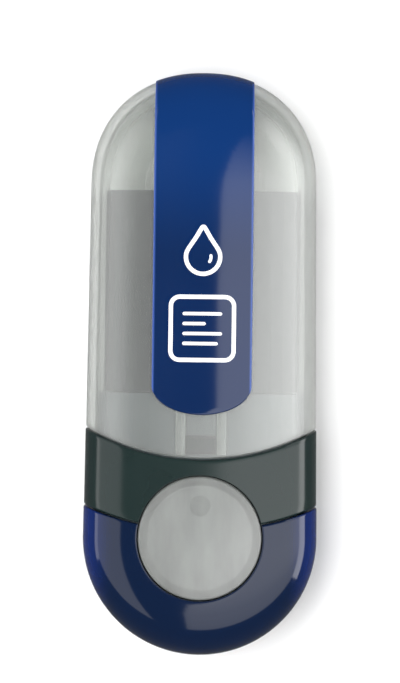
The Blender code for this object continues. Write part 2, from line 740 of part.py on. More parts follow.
def make_yoke(bench, body):
    """Two long arms that carry the die's axle, on a crossbar that the main springs push."""
    inside, outside = ARM_INSIDE, ARM_INSIDE + ARM_THICKNESS
    middle = (inside + outside) / 2
    bar = box(
        (-middle, CROSSBAR_Y - CROSSBAR_THICKNESS, SLIDER_INSIDE + SLIDE_GAP + CROSSBAR_LIFT),
        (middle, CROSSBAR_Y, WELL_FLOOR_Z - WELL_FLOOR - SLIDE_GAP),
    )
    yoke = bench.piece("carrier_yoke", bar, "black", body)
    boolean(yoke, bench.core(SLIDER_INSIDE + SLIDE_GAP), "INTERSECT")
    path = [
        Vector((CROSSBAR_Y - CROSSBAR_THICKNESS / 2, MIDDLE_Z)),
        Vector((DIE_AXIS_Y, MIDDLE_Z)),
    ]
    outline = slot_outline(path, ARM_HEIGHT / 2, cap_steps=ARM_END_STEPS)
    for side in (-1, 1):
        low_x, high_x = sorted((side * inside, side * outside))
        boolean(yoke, bench.cutter(side_prism(outline, low_x, high_x)), "UNION")
    bore = cylinder(
        AXLE_RADIUS + PIN_PLAY,
        (-FAR, DIE_AXIS_Y, MIDDLE_Z),
        (FAR, DIE_AXIS_Y, MIDDLE_Z),
        sides=PIN_SIDES,
    )
    boolean(yoke, bench.cutter(bore))
    axle_reach = outside - GLUE_GAP
    axle = cylinder(
        AXLE_RADIUS,
        (-axle_reach, DIE_AXIS_Y, MIDDLE_Z),
        (axle_reach, DIE_AXIS_Y, MIDDLE_Z),
        sides=PIN_SIDES,
    )
    bench.piece("die_axle", axle, "steel", body)


# Die ----------------------------------------------------------------------------------------------
def make_die(bench, body):
    """The carrier that turns, and what is stuck on it: a foam cushion and the rubber text plate."""
    face_y = DIE_AXIS_Y + DIE_REACH
    plate_back = face_y - DIE_THICKNESS
    cushion_front = plate_back - GLUE_GAP
    cushion_back = cushion_front - CUSHION_THICKNESS
    carrier_front = cushion_back - GLUE_GAP
    half_x, half_z = CARRIER_WIDTH / 2, CARRIER_HEIGHT / 2
    carrier = bench.piece(
        "die_carrier",
        rounded_box(
            (-half_x, DIE_AXIS_Y - CARRIER_BACK, MIDDLE_Z - half_z),
            (half_x, carrier_front, MIDDLE_Z + half_z),
            CARRIER_ROUND,
        ),
        "grey",
        body,
    )
    bore = cylinder(
        AXLE_RADIUS + PIN_PLAY,
        (-FAR, DIE_AXIS_Y, MIDDLE_Z),
        (FAR, DIE_AXIS_Y, MIDDLE_Z),
        sides=PIN_SIDES,
    )
    boolean(carrier, bench.cutter(bore))
    pin_z = MIDDLE_Z - CAM_ARM
    tip_x = FRAME_WIDTH / 2 - SLIDE_GAP
    for side, name in ((-1, "cam_pin_left"), (1, "cam_pin_right")):
        root_x = side * (half_x - CAM_PIN_DEPTH)
        hole_end = side * (half_x - CAM_PIN_DEPTH - GLUE_GAP)
        hole = cylinder(
            CAM_PIN_RADIUS + PIN_PLAY,
            (hole_end, DIE_AXIS_Y, pin_z),
            (side * FAR, DIE_AXIS_Y, pin_z),
            sides=PIN_SIDES,
        )
        boolean(carrier, bench.cutter(hole))
        pin = cylinder(
            CAM_PIN_RADIUS,
            (root_x, DIE_AXIS_Y, pin_z),
            (side * tip_x, DIE_AXIS_Y, pin_z),
            sides=PIN_SIDES,
        )
        bench.piece(name, pin, "steel", body)
    bench.piece(
        "die_cushion",
        box(
            (-DIE_WIDTH / 2, cushion_back, MIDDLE_Z - half_z),
            (DIE_WIDTH / 2, cushion_front, MIDDLE_Z + half_z),
        ),
        "foam",
        body,
    )
    bench.piece(
        "text_plate",
        box(
            (-DIE_WIDTH / 2, plate_back, MIDDLE_Z - DIE_HEIGHT / 2),
            (DIE_WIDTH / 2, face_y, MIDDLE_Z + DIE_HEIGHT / 2),
        ),
        "rubber",
        body,
    )


# Button and latch ---------------------------------------------------------------------------------
def button_mesh():
    """A turned cup with a low dome, open underneath."""
    rim_z = THICKNESS - BUTTON_DOME
    skirt_z = LEVER_Z + LEVER_THICKNESS / 2 + SLIDE_GAP
    dome_radius = (BUTTON_RADIUS**2 + BUTTON_DOME**2) / (2 * BUTTON_DOME)
    dome = []
    for step in range(DOME_STEPS + 1):
        radius = BUTTON_RADIUS * step / DOME_STEPS
        sink = dome_radius - math.sqrt(dome_radius**2 - radius**2)
        dome.append((radius, THICKNESS - sink))
    inner = BUTTON_RADIUS - BUTTON_SKIRT
    profile = dome + [
        (BUTTON_RADIUS, skirt_z),
        (inner, skirt_z),
        (inner, rim_z - BUTTON_PLATE),
        (0.0, rim_z - BUTTON_PLATE),
    ]
    bm = bmesh.new()
    corners = [bm.verts.new((radius, 0, z)) for radius, z in profile]
    edges = [bm.edges.new(pair) for pair in zip(corners, corners[1:])]
    bmesh.ops.spin(
        bm,
        geom=corners + edges,
        cent=(0, 0, 0),
        axis=(0, 0, 1),
        angle=2 * math.pi,
        steps=HOLE_SIDES,
        use_merge=True,
    )
    bmesh.ops.remove_doubles(bm, verts=bm.verts, dist=WELD)
    bmesh.ops.recalc_face_normals(bm, faces=bm.faces)
    bmesh.ops.translate(bm, vec=(0, BUTTON_Y, 0), verts=bm.verts)
    return mesh_from(bm)


def make_button(bench, body):
    button = bench.piece("push_button", button_mesh(), "milky", body)
    top = THICKNESS - BUTTON_DOME - BUTTON_PLATE / 2
    foot = LEVER_Z + LEVER_THICKNESS / 2 + SLIDE_GAP / 2
    stem = cylinder(STEM_RADIUS, (0, STEM_Y, foot), (0, STEM_Y, top), sides=STEM_SIDES)
    boolean(button, bench.cutter(stem), "UNION")


def make_latch(bench, body):
    """A lever under the button: pressing the button swings its hook down out of the sleeve's window."""
    half = LEVER_WIDTH / 2
    low_z, high_z = LEVER_Z - LEVER_THICKNESS / 2, LEVER_Z + LEVER_THICKNESS / 2
    bar = box((-half, LEVER_PIVOT_Y, low_z), (half, HOOK_Y + HOOK_LENGTH / 2, high_z))
    lever = bench.piece("latch_lever", bar, "graphite", body)
    knuckle = cylinder(
        LEVER_THICKNESS / 2 + KNUCKLE_RISE,
        (-half, LEVER_PIVOT_Y, LEVER_Z),
        (half, LEVER_PIVOT_Y, LEVER_Z),
        sides=KNUCKLE_SIDES,
    )
    boolean(lever, bench.cutter(knuckle), "UNION")
    hook_top = THICKNESS - SLEEVE_INSIDE - SLIDE_GAP
    hook = box(
        (-half, HOOK_Y - HOOK_LENGTH / 2, low_z), (half, HOOK_Y + HOOK_LENGTH / 2, hook_top)
    )
    boolean(lever, bench.cutter(hook), "UNION")
    hole = cylinder(
        LATCH_PIN_RADIUS + PIN_PLAY,
        (-FAR, LEVER_PIVOT_Y, LEVER_Z),
        (FAR, LEVER_PIVOT_Y, LEVER_Z),
        sides=PIN_SIDES,
    )
    boolean(lever, bench.cutter(hole))


def make_latch_pin_and_spring(bench, body):
    reach = LEVER_WIDTH / 2 + 2 * SLIDE_GAP + LUG_THICKNESS
    pin = cylinder(
        LATCH_PIN_RADIUS,
        (-reach, LEVER_PIVOT_Y, LEVER_Z),
        (reach, LEVER_PIVOT_Y, LEVER_Z),
        sides=PIN_SIDES,
    )
    bench.piece("latch_pin", pin, "steel", body)
    spring = coil_mesh(
        (0, STEM_Y, SLIDER_INSIDE + SEAM_GAP),
        (0, STEM_Y, LEVER_Z - LEVER_THICKNESS / 2 - SEAM_GAP / 2),
        LATCH_SPRING_RADIUS,
        LATCH_SPRING_WIRE,
        LATCH_SPRING_TURNS,
    )
    bench.piece("latch_spring", spring, "steel", body)


def main():
    bench = Bench()
    frame = bench.empty("frame", (0, 0, 0))
    make_base_frame(bench, frame)
    make_sleeve(bench, frame)
    make_collar(bench, frame)
    make_ink_pad(bench, frame)
    make_main_springs(bench, frame)

    handle = bench.empty("handle", (0, HANDLE_CENTRE_Y, MIDDLE_Z), frame)
    make_handle_shell(bench, handle)
    make_slider(bench, handle)
    make_yoke(bench, handle)
    make_latch_pin_and_spring(bench, handle)

    make_die(bench, bench.empty("die", (0, DIE_AXIS_Y, MIDDLE_Z), handle))
    make_button(bench, bench.empty("button", (0, BUTTON_Y, THICKNESS), handle))
    make_latch(bench, bench.empty("latch", (0, LEVER_PIVOT_Y, LEVER_Z), handle))
    make_cap(bench, bench.empty("cap", (0, TIP_CENTRE_Y, MIDDLE_Z), frame))


main()
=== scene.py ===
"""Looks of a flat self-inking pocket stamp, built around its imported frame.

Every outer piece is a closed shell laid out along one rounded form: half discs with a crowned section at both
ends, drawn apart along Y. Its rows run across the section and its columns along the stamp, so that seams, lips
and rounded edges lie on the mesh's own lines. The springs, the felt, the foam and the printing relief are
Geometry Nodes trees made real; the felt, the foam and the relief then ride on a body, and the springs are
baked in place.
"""

from __future__ import annotations

import json
import logging
import math
from dataclasses import dataclass, field
from enum import Enum
from typing import Any, Callable, Iterable, Sequence

import bmesh
import bpy
import numpy as np
from mathutils import Matrix, Vector

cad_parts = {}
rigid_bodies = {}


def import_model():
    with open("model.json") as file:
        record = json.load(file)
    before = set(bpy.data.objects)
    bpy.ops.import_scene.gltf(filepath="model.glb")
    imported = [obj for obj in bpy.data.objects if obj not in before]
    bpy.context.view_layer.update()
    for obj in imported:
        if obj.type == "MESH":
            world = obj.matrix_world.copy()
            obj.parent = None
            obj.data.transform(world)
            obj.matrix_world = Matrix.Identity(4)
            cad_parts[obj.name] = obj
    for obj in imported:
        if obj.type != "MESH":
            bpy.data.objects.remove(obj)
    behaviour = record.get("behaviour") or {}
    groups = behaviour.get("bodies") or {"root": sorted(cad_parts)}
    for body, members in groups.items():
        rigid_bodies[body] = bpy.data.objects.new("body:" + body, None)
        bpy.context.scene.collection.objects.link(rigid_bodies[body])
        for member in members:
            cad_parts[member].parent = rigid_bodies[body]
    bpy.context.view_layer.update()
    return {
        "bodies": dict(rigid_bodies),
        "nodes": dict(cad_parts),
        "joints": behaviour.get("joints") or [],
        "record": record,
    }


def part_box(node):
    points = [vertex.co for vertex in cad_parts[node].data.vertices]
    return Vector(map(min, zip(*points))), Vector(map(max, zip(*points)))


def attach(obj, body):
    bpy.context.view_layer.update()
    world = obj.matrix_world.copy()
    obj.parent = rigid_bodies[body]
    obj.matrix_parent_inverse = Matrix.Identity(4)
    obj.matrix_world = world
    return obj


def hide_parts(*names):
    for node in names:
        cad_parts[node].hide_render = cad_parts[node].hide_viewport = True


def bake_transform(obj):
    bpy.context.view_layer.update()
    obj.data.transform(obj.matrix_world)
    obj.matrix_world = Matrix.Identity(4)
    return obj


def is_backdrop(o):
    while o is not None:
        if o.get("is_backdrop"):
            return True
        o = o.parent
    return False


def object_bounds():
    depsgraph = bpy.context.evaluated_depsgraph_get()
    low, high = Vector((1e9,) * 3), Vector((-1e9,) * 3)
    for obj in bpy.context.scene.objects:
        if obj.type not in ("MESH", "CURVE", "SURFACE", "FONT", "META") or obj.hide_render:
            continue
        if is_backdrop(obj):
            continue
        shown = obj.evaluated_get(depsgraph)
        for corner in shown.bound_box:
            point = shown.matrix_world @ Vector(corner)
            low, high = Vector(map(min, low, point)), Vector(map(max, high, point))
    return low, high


LOG = logging.getLogger("pocket_stamp")
MM = 0.001
Array = np.ndarray

# Sizes that the looks share with the solids.
SEAM_CENTRE_REACH = 46.4 * MM  # from the handle's centre to the centre of both seams
CAP_SEAM_RADIUS = 34.65 * MM
HANDLE_SEAM_RADIUS = 45.0 * MM
BUTTON_SHIFT = 0.2 * MM  # from the handle's centre to the button's
STRIP_PROUD = 0.1 * MM
TIP_LOSS = 0.5 * MM  # how much narrower the half width is at the tip

# Noise stays mostly between these values, which stand for the ends of what it drives.
NOISE_LOW, NOISE_HIGH = 0.3, 0.7


class Body(str, Enum):
    """The CAD bodies that pieces ride on."""

    FRAME = "frame"
    CAP = "cap"
    HANDLE = "handle"
    DIE = "die"
    BUTTON = "button"
    LATCH = "latch"


class End(Enum):
    """Which round end of the stamp a shell closes over."""

    TIP = 1
    HANDLE = -1


# Colours and node trees ---------------------------------------------------------------------------
def linear(colour: str) -> tuple[float, float, float, float]:
    """Turns an sRGB hex colour into linear RGBA.

    Args:
        colour: Six hex digits, such as "2F3A4C".

    Returns:
        Red, green, blue and an alpha of 1.
    """
    parts = [int(colour[i : i + 2], 16) / 255 for i in (0, 2, 4)]
    red, green, blue = (p / 12.92 if p <= 0.04045 else ((p + 0.055) / 1.055) ** 2.4 for p in parts)
    return (red, green, blue, 1.0)


def add_node(tree: bpy.types.NodeTree, kind: str, inputs: dict | None = None, **settings: Any) -> Any:
    """Adds a node, sets its properties and fills or links its inputs.

    Args:
        tree: The tree that takes the node.
        kind: The node's type, such as "ShaderNodeTexNoise".
        inputs: Socket name or index to a value, or to the output socket that feeds it.
        **settings: Properties of the node.

    Returns:
        The new node.
    """
    node = tree.nodes.new(kind)
    for name, value in settings.items():
        setattr(node, name, value)
    for name, value in (inputs or {}).items():
        socket = node.inputs[name]
        if isinstance(value, bpy.types.NodeSocket):
            tree.links.new(value, socket)
        else:
            socket.default_value = value
    return node


@dataclass(frozen=True)
class Moulding:
    """A moulded plastic or rubber: its colour drifts a little, and its surface has a fine grain.

    Attributes:
        name: What the finish is.
        colour: The sRGB hex colour of most of it.
        drift: The colour it drifts to over patches of drift_mm.
        roughness: How matt it is, from 0 to 1.
        drift_mm: The size of the colour's patches.
        grain_mm: The size of the surface's grain.
        grain_depth_mm: How deep that grain is.
        ior: Index of refraction.
        metallic: 1 for metal.
        rough_drift: The share by which the roughness drifts with the colour.
    """

    name: str
    colour: str
    drift: str
    roughness: float
    drift_mm: float = 9.0
    grain_mm: float = 0.35
    grain_depth_mm: float = 0.004
    ior: float = 1.5
    metallic: float = 0.0
    rough_drift: float = 0.12

    def build(self) -> bpy.types.Material:
        """Makes the material.

        Returns:
            The finished node material.
        """
        made = bpy.data.materials.new(self.name)
        made.use_nodes = True
        tree = made.node_tree
        shader = tree.nodes["Principled BSDF"]
        place = add_node(tree, "ShaderNodeTexCoord").outputs["Object"]
        patches = add_node(
            tree, "ShaderNodeTexNoise", {"Vector": place, "Scale": 1000 / self.drift_mm, "Detail": 3.0}
        )
        colour = add_node(
            tree,
            "ShaderNodeMix",
            {0: patches.outputs["Fac"], 6: linear(self.colour), 7: linear(self.drift)},
            data_type="RGBA",
        )
        tree.links.new(self.add_painted_light(tree, place, colour.outputs[2]), shader.inputs["Base Color"])
        rough = add_node(
            tree,
            "ShaderNodeMapRange",
            {
                "Value": patches.outputs["Fac"],
                "From Min": NOISE_LOW,
                "From Max": NOISE_HIGH,
                "To Min": self.roughness * (1 - self.rough_drift),
                "To Max": min(self.roughness * (1 + self.rough_drift), 1.0),
            },
        )
        tree.links.new(rough.outputs["Result"], shader.inputs["Roughness"])
        grain = add_node(
            tree, "ShaderNodeTexNoise", {"Vector": place, "Scale": 1000 / self.grain_mm, "Detail": 2.0}
        )
        bump = add_node(
            tree,
            "ShaderNodeBump",
            {"Height": grain.outputs["Fac"], "Distance": self.grain_depth_mm * MM, "Strength": 1.0},
        )
        tree.links.new(bump.outputs["Normal"], shader.inputs["Normal"])
        if not self.metallic:
            shader.inputs["IOR"].default_value = self.ior
        shader.inputs["Metallic"].default_value = self.metallic
        return made

    def add_painted_light(self, tree: bpy.types.NodeTree, place: Any, colour: Any) -> Any:
        """Returns the colour socket as it is: a plain moulding has no painted light."""
        return colour


@dataclass(frozen=True)
class ClearMoulding(Moulding):
    """A tinted clear moulding with painted light: a painted glow in its own colour where its walls are edge
    on, and a painted lighter blue over its hollow tip.

    Attributes:
        painted_glow: The sRGB hex colour of the painted glow where the wall is seen edge on.
        start_mm: Where the painted glow starts, from the long axis.
        full_mm: Where it is full.
        painted_hollow_light: The sRGB hex colour of the painted light over the hollow tip, standing for light
            that comes up from below.
        hollow_from_mm: Where the painted hollow light starts, along the piece.
        hollow_full_mm: Where it is full.
    """

    painted_glow: str = "2A50C0"
    start_mm: float = 15.9
    full_mm: float = 17.1
    painted_hollow_light: str = ""
    hollow_from_mm: float = 14.0
    hollow_full_mm: float = 32.0

    def add_painted_light(self, tree: bpy.types.NodeTree, place: Any, colour: Any) -> Any:
        """Mixes in painted light: a painted glow towards both sides and a painted lighter blue over the hollow
        tip.

        Args:
            tree: The material's tree.
            place: The object coordinates' socket.
            colour: The colour's socket.

        Returns:
            The socket of the mixed colour.
        """
        axes = add_node(tree, "ShaderNodeSeparateXYZ", {0: place})
        away = add_node(tree, "ShaderNodeMath", {0: axes.outputs["X"]}, operation="ABSOLUTE").outputs[0]
        # Painted light: a painted glow towards both sides, where the walls are edge on, and a painted lighter
        # blue over the hollow tip.
        painted_bands = [(away, self.start_mm, self.full_mm, self.painted_glow)]
        if self.painted_hollow_light:
            painted_bands.insert(0, (axes.outputs["Y"], self.hollow_from_mm, self.hollow_full_mm, self.painted_hollow_light))
        for along, start, full, painted_colour in painted_bands:
            share = add_node(
                tree,
                "ShaderNodeMapRange",
                {"Value": along, "From Min": start * MM, "From Max": full * MM},
                interpolation_type="SMOOTHSTEP",
            )
            colour = add_node(
                tree,
                "ShaderNodeMix",
                {0: share.outputs["Result"], 6: colour, 7: linear(painted_colour)},
                data_type="RGBA",
            ).outputs[2]
        return colour


@dataclass(frozen=True)
class MilkyMoulding:
    """A natural, unpigmented moulding: it lets part of the light through, scatters some and has a soft gloss.

    Attributes:
        name: What the finish is.
        scatter: The sRGB hex colour of what it scatters.
        pass_tint: The sRGB hex colour that light has after passing one face of it.
        opacity: The share that it scatters where it is met square on.
        edge_opacity: The share that it scatters where it is met edge on, along the wall.
        gloss: The share that each face reflects where it is met square on.
        roughness: How matt its gloss is.
        flow_mm: The length of the clouds that the melt's flow leaves along the piece.
        grain_mm: The size of the surface's grain.
        grain_depth_mm: How deep that grain is.
        opacity_drift: The share by which the clouds change the opacity.
        edge_power: How close to edge on the wall has to be met before it clouds over.
        forward: The share of what it scatters that goes on through the wall.
        edge_gloss: The share that each face reflects where it is met edge on.
    """

    name: str
    scatter: str
    pass_tint: str
    opacity: float
    edge_opacity: float
    gloss: float
    roughness: float
    flow_mm: float = 5.0
    grain_mm: float = 0.6
    grain_depth_mm: float = 0.006
    opacity_drift: float = 0.2
    edge_power: float = 2.5
    forward: float = 0.45
    edge_gloss: float = 0.7

    def build(self) -> bpy.types.Material:
        """Makes the material.

        Returns:
            The finished node material.
        """
        made = bpy.data.materials.new(self.name)
        made.use_nodes = True
        tree = made.node_tree
        tree.nodes.remove(tree.nodes["Principled BSDF"])
        place = add_node(tree, "ShaderNodeTexCoord").outputs["Object"]
        along = add_node(tree, "ShaderNodeMapping", {"Vector": place, "Scale": (1.0, 0.3, 1.0)})
        clouds = add_node(
            tree,
            "ShaderNodeTexNoise",
            {"Vector": along.outputs["Vector"], "Scale": 1000 / self.flow_mm, "Detail": 4.0},
        )
        grain = add_node(
            tree, "ShaderNodeTexNoise", {"Vector": place, "Scale": 1000 / self.grain_mm, "Detail": 2.0}
        )
        bump = add_node(
            tree, "ShaderNodeBump", {"Height": grain.outputs["Fac"], "Distance": self.grain_depth_mm * MM}
        )
        normal = bump.outputs["Normal"]
        facing = add_node(tree, "ShaderNodeLayerWeight", {"Blend": 0.5}).outputs["Facing"]
        edge = add_node(tree, "ShaderNodeMath", {0: facing, 1: self.edge_power}, operation="POWER")
        base = add_node(
            tree,
            "ShaderNodeMapRange",
            {
                "Value": clouds.outputs["Fac"],
                "From Min": NOISE_LOW,
                "From Max": NOISE_HIGH,
                "To Min": self.opacity * (1 - self.opacity_drift),
                "To Max": self.opacity * (1 + self.opacity_drift),
            },
        )
        opacity = add_node(
            tree,
            "ShaderNodeMix",
            {0: edge.outputs[0], 2: base.outputs["Result"], 3: self.edge_opacity},
            data_type="FLOAT",
        )
        through = add_node(tree, "ShaderNodeBsdfTransparent", {"Color": linear(self.pass_tint)})
        back = add_node(tree, "ShaderNodeBsdfDiffuse", {"Color": linear(self.scatter), "Normal": normal})
        forth = add_node(tree, "ShaderNodeBsdfTranslucent", {"Color": linear(self.scatter)})
        scattered = add_node(
            tree, "ShaderNodeMixShader", {0: self.forward, 1: back.outputs[0], 2: forth.outputs[0]}
        )
        wall = add_node(
            tree,
            "ShaderNodeMixShader",
            {0: opacity.outputs[0], 1: through.outputs[0], 2: scattered.outputs[0]},
        )
        gloss = add_node(
            tree,
            "ShaderNodeBsdfGlossy",
            {"Color": linear("FFFFFF"), "Roughness": self.roughness, "Normal": normal},
        )
        # Schlick's rule, which reads the same from both sides of the wall.
        rise = add_node(tree, "ShaderNodeMath", {0: facing, 1: 5.0}, operation="POWER")
        share = add_node(
            tree,
            "ShaderNodeMapRange",
            {"Value": rise.outputs[0], "To Min": self.gloss, "To Max": self.edge_gloss},
        )
        surface = add_node(
            tree, "ShaderNodeMixShader", {0: share.outputs[0], 1: wall.outputs[0], 2: gloss.outputs[0]}
        )
        tree.links.new(surface.outputs[0], tree.nodes["Material Output"].inputs["Surface"])
        return made


class Finish(Enum):
    """The finishes of the stamp's pieces."""

    # Injection moulded polypropylene with no pigment: milky, and it blurs what is behind it.
    MILKY_POLYPROPYLENE = MilkyMoulding(
        "milky_moulded_polypropylene", "F2F4F1", "F8FAF8", opacity=0.05, edge_opacity=0.85,
        gloss=0.17, roughness=0.4, flow_mm=6.0,
    )
    # The same plastic in a thicker, more scattering piece.
    MILKY_BUTTON = MilkyMoulding(
        "milky_moulded_button", "E6E9E6", "F0F2F1", opacity=0.26, edge_opacity=0.55,
        gloss=0.12, roughness=0.4, flow_mm=3.0,
    )
    # Grey ABS of the inner neck, lighter than the block.
    MILKY_SLEEVE = Moulding(
        "natural_moulded_sleeve", "565E62", "50575B", 0.4, drift_mm=6, grain_mm=0.4, ior=1.53,
    )
    # Tinted styrene-acrylonitrile from a polished tool: a hard, wet-looking gloss, with a painted glow at its
    # sides and a painted lighter blue over the hollow tip.
    BLUE_STRIP = ClearMoulding(
        "polished_blue_san", "001E47", "002150", 0.07, drift_mm=20, grain_mm=1.5,
        grain_depth_mm=0.0005, ior=1.57, painted_glow="3A5AA8", start_mm=6.85, full_mm=7.25, painted_hollow_light="002D66",
    )
    # The same tinted plastic over a dark inside, with a painted glow towards its sides where light would leave
    # it at its edges.
    NAVY_HANDLE = ClearMoulding(
        "polished_navy_san", "00132F", "001636", 0.09, drift_mm=20, grain_mm=1.5,
        grain_depth_mm=0.0005, ior=1.57, painted_glow="09256C", start_mm=12.5, full_mm=18.4,
    )
    # Moulded ABS in graphite with a green tinge, satin rather than mirror gloss.
    GRAPHITE_ABS = Moulding(
        "moulded_graphite_abs", "152322", "192928", 0.16, drift_mm=10, grain_mm=0.5,
        grain_depth_mm=0.001, ior=1.53,
    )
    # Moulded ABS in dark grey, eroded to a satin, which the milky cap lightens.
    GREY_ABS = Moulding(
        "moulded_grey_abs", "1C2428", "192024", 0.4, drift_mm=12, grain_mm=0.4, ior=1.53,
    )
    # Acetal for what slides: black, slightly waxy.
    BLACK_ACETAL = Moulding(
        "moulded_black_acetal", "17191B", "1D1F22", 0.36, drift_mm=8, grain_mm=0.4, ior=1.48,
    )
    # Laser-engraved rubber: matt, with a fine sooty grain.
    DIE_RUBBER = Moulding(
        "engraved_red_rubber", "8A4438", "7A382E", 0.72, drift_mm=3, grain_mm=0.25,
        grain_depth_mm=0.02, ior=1.52,
    )
    # Closed-cell foam, whose cells of about 0.3 mm show as a coarse grain.
    WHITE_FOAM = Moulding(
        "closed_cell_foam", "E2DFD6", "D5D1C6", 0.9, drift_mm=2, grain_mm=0.3,
        grain_depth_mm=0.06, ior=1.45,
    )
    # Felt soaked with violet-blue ink: dark, and wet between its fibres.
    INKED_FELT = Moulding(
        "inked_felt", "0D1040", "161A5C", 0.55, drift_mm=1.2, grain_mm=0.2,
        grain_depth_mm=0.08, ior=1.36,
    )
    # Cold-drawn spring wire.
    SPRING_STEEL = Moulding(
        "drawn_spring_steel", "B9BABD", "A8AAAE", 0.28, drift_mm=2, grain_mm=0.3,
        grain_depth_mm=0.002, metallic=1.0,
    )
    # Pad-printed white lacquer, thin and half matt.
    WHITE_PRINT = Moulding(
        "white_pad_print", "F4F6FA", "E9ECF3", 0.3, drift_mm=3, grain_mm=0.3, grain_depth_mm=0.003,
    )
    # The paper sweep that the stamp lies on.
    WHITE_PAPER = Moulding(
        "white_paper_sweep", "FAFAFA", "F7F7F7", 0.9, drift_mm=300, grain_mm=2, grain_depth_mm=0.001,
    )


class Finishes:
    """Builds each finish once."""

    def __init__(self) -> None:
        """Starts with none built."""
        self.made: dict[Finish, bpy.types.Material] = {}

    def get(self, finish: Finish) -> bpy.types.Material:
        """Returns the material of this finish."""
        if finish not in self.made:
            self.made[finish] = finish.value.build()
        return self.made[finish]


# The rounded form ---------------------------------------------------------------------------------
@dataclass(frozen=True)
class Form:
    """The long rounded form: a section across it, and a plan that closes over two round ends.

    Attributes:
        handle_half: Half the width at the centre of the handle's round end.
        tip_half: Half the width at the centre of the tip.
        handle_y: The centre of the handle's round end.
        tip_y: The centre of the tip.
        middle_z: The height of the widest line.
        crown: How far the front falls from its ridge to its sides.
        back_bulge: What the back would bulge by if it were not cut flat.
        power: The section's roundness.
        tip_power: The tip's roundness in plan.
        front_steps: Steps from the front's ridge to the widest line.
        back_steps: Steps from there to the edge of the flat back.
        flat_steps: Steps over half of the flat back.
        bend_weight: The length that one radian of turning counts for when points are spread.
    """

    handle_half: float
    tip_half: float
    handle_y: float
    tip_y: float
    middle_z: float
    crown: float = 1.2 * MM
    back_bulge: float = 0.35 * MM
    power: float = 4.0
    tip_power: float = 2.2
    front_steps: int = 26
    back_steps: int = 18
    flat_steps: int = 5
    bend_weight: float = 4 * MM

    def half_at(self, y: float, inset: float) -> float:
        """Returns half the width at y, this far inside the skin."""
        share = (y - self.handle_y) / (self.tip_y - self.handle_y)
        share = min(max(share, 0.0), 1.0)
        return self.handle_half + (self.tip_half - self.handle_half) * share - inset

    def front_z(self, share: Any, inset: float) -> Any:
        """Returns the front's height at a share of the half width."""
        rise = np.maximum(1 - np.abs(share) ** self.power, 0) ** (1 / self.power)
        return self.middle_z + (self.middle_z - inset - self.crown * share**2) * rise

    def back_z(self, share: Any, inset: float, floor: float) -> Any:
        """Returns the back's height at a share of the half width."""
        rise = np.maximum(1 - np.abs(share) ** self.power, 0) ** (1 / self.power)
        depth = self.middle_z + self.back_bulge - inset
        return np.maximum(self.middle_z - depth * rise, floor)

    def section(self, inset: float, floor: float) -> tuple[Array, Array]:
        """Lays points from the front's ridge round the side to the middle of the back.

        Args:
            inset: How far inside the skin.
            floor: The height at which the back is cut flat.

        Returns:
            The shares of the half width and the heights of the points.
        """
        turn = np.linspace(0, math.pi / 2, 1200)
        share = np.sin(turn) ** (2 / self.power)
        front = self._spread(share, self.front_z(share, inset), self.front_steps)
        depth = self.middle_z + self.back_bulge - inset
        flat = (1 - ((self.middle_z - floor) / depth) ** self.power) ** (1 / self.power)
        down = share[::-1]
        down = np.append(down[down > flat], flat)
        back = self._spread(down, self.back_z(down, inset, floor), self.back_steps)
        level = np.linspace(flat, 0, self.flat_steps + 1)
        shares = np.concatenate([front[0], back[0][1:], level[1:]])
        heights = np.concatenate([front[1], back[1][1:], np.full(self.flat_steps, floor)])
        return shares, heights

    def _spread(self, share: Array, height: Array, steps: int) -> tuple[Array, Array]:
        """Spreads points along a curve, evenly by its length and by its turning."""
        across, along = np.diff(share * self.handle_half), np.diff(height)
        length = np.hypot(across, along)
        heading = np.unwrap(np.arctan2(along, across))
        bend = np.abs(np.diff(heading, prepend=heading[0]))
        measure = np.concatenate([[0], np.cumsum(length + self.bend_weight * bend)])
        even = np.linspace(0, measure[-1], steps + 1)
        return np.interp(even, measure, share), np.interp(even, measure, height)


@dataclass(frozen=True)
class Seam:
    """A curved seam: an arc in plan about a point on the long axis.

    Attributes:
        centre_y: The arc's centre.
        radius: Its radius.
    """

    centre_y: float
    radius: float

    def y(self, x: Any) -> Any:
        """Returns where the seam lies at x."""
        return self.centre_y - np.sqrt(self.radius**2 - np.asarray(x) ** 2)


@dataclass(frozen=True)
class Station:
    """One column of a shell: a place along the stamp, and how deep under the skin it lies.

    Attributes:
        inset: How deep under the skin.
        angle: The angle round the end's arc, or None on the straight part.
        share: The share of the way from the arc's centre to the end of the straight part.
        from_edge: How far the end of the straight part lies from the seam.
        seam: The seam that the distance is measured from.
        side: 1 where the piece lies on the +Y side of its seam.
    """

    inset: float
    seam: Seam
    side: int
    angle: float | None = None
    share: float = 1.0
    from_edge: float = 0.0


def lip(
    seam: Seam,
    side: int,
    outer: float,
    inner: float,
    outer_round: float,
    inner_round: float,
    steps: int = 4,
) -> list[Station]:
    """Stations over a rounded edge at a seam, from the outside in.

    Args:
        seam: The seam.
        side: 1 where the piece lies on the +Y side of it.
        outer: The outer wall's inset.
        inner: The inner wall's inset.
        outer_round: The outer edge's radius.
        inner_round: The inner edge's radius.
        steps: Steps of each quarter circle.

    Returns:
        The stations.
    """
    outside = [
        Station(outer + outer_round - down, seam, side, from_edge=outer_round - back)
        for back, down in quarter(outer_round, steps)
    ]
    inside = [
        Station(inner - inner_round + up, seam, side, from_edge=inner_round - back)
        for up, back in quarter(inner_round, steps)
    ]
    return outside + inside


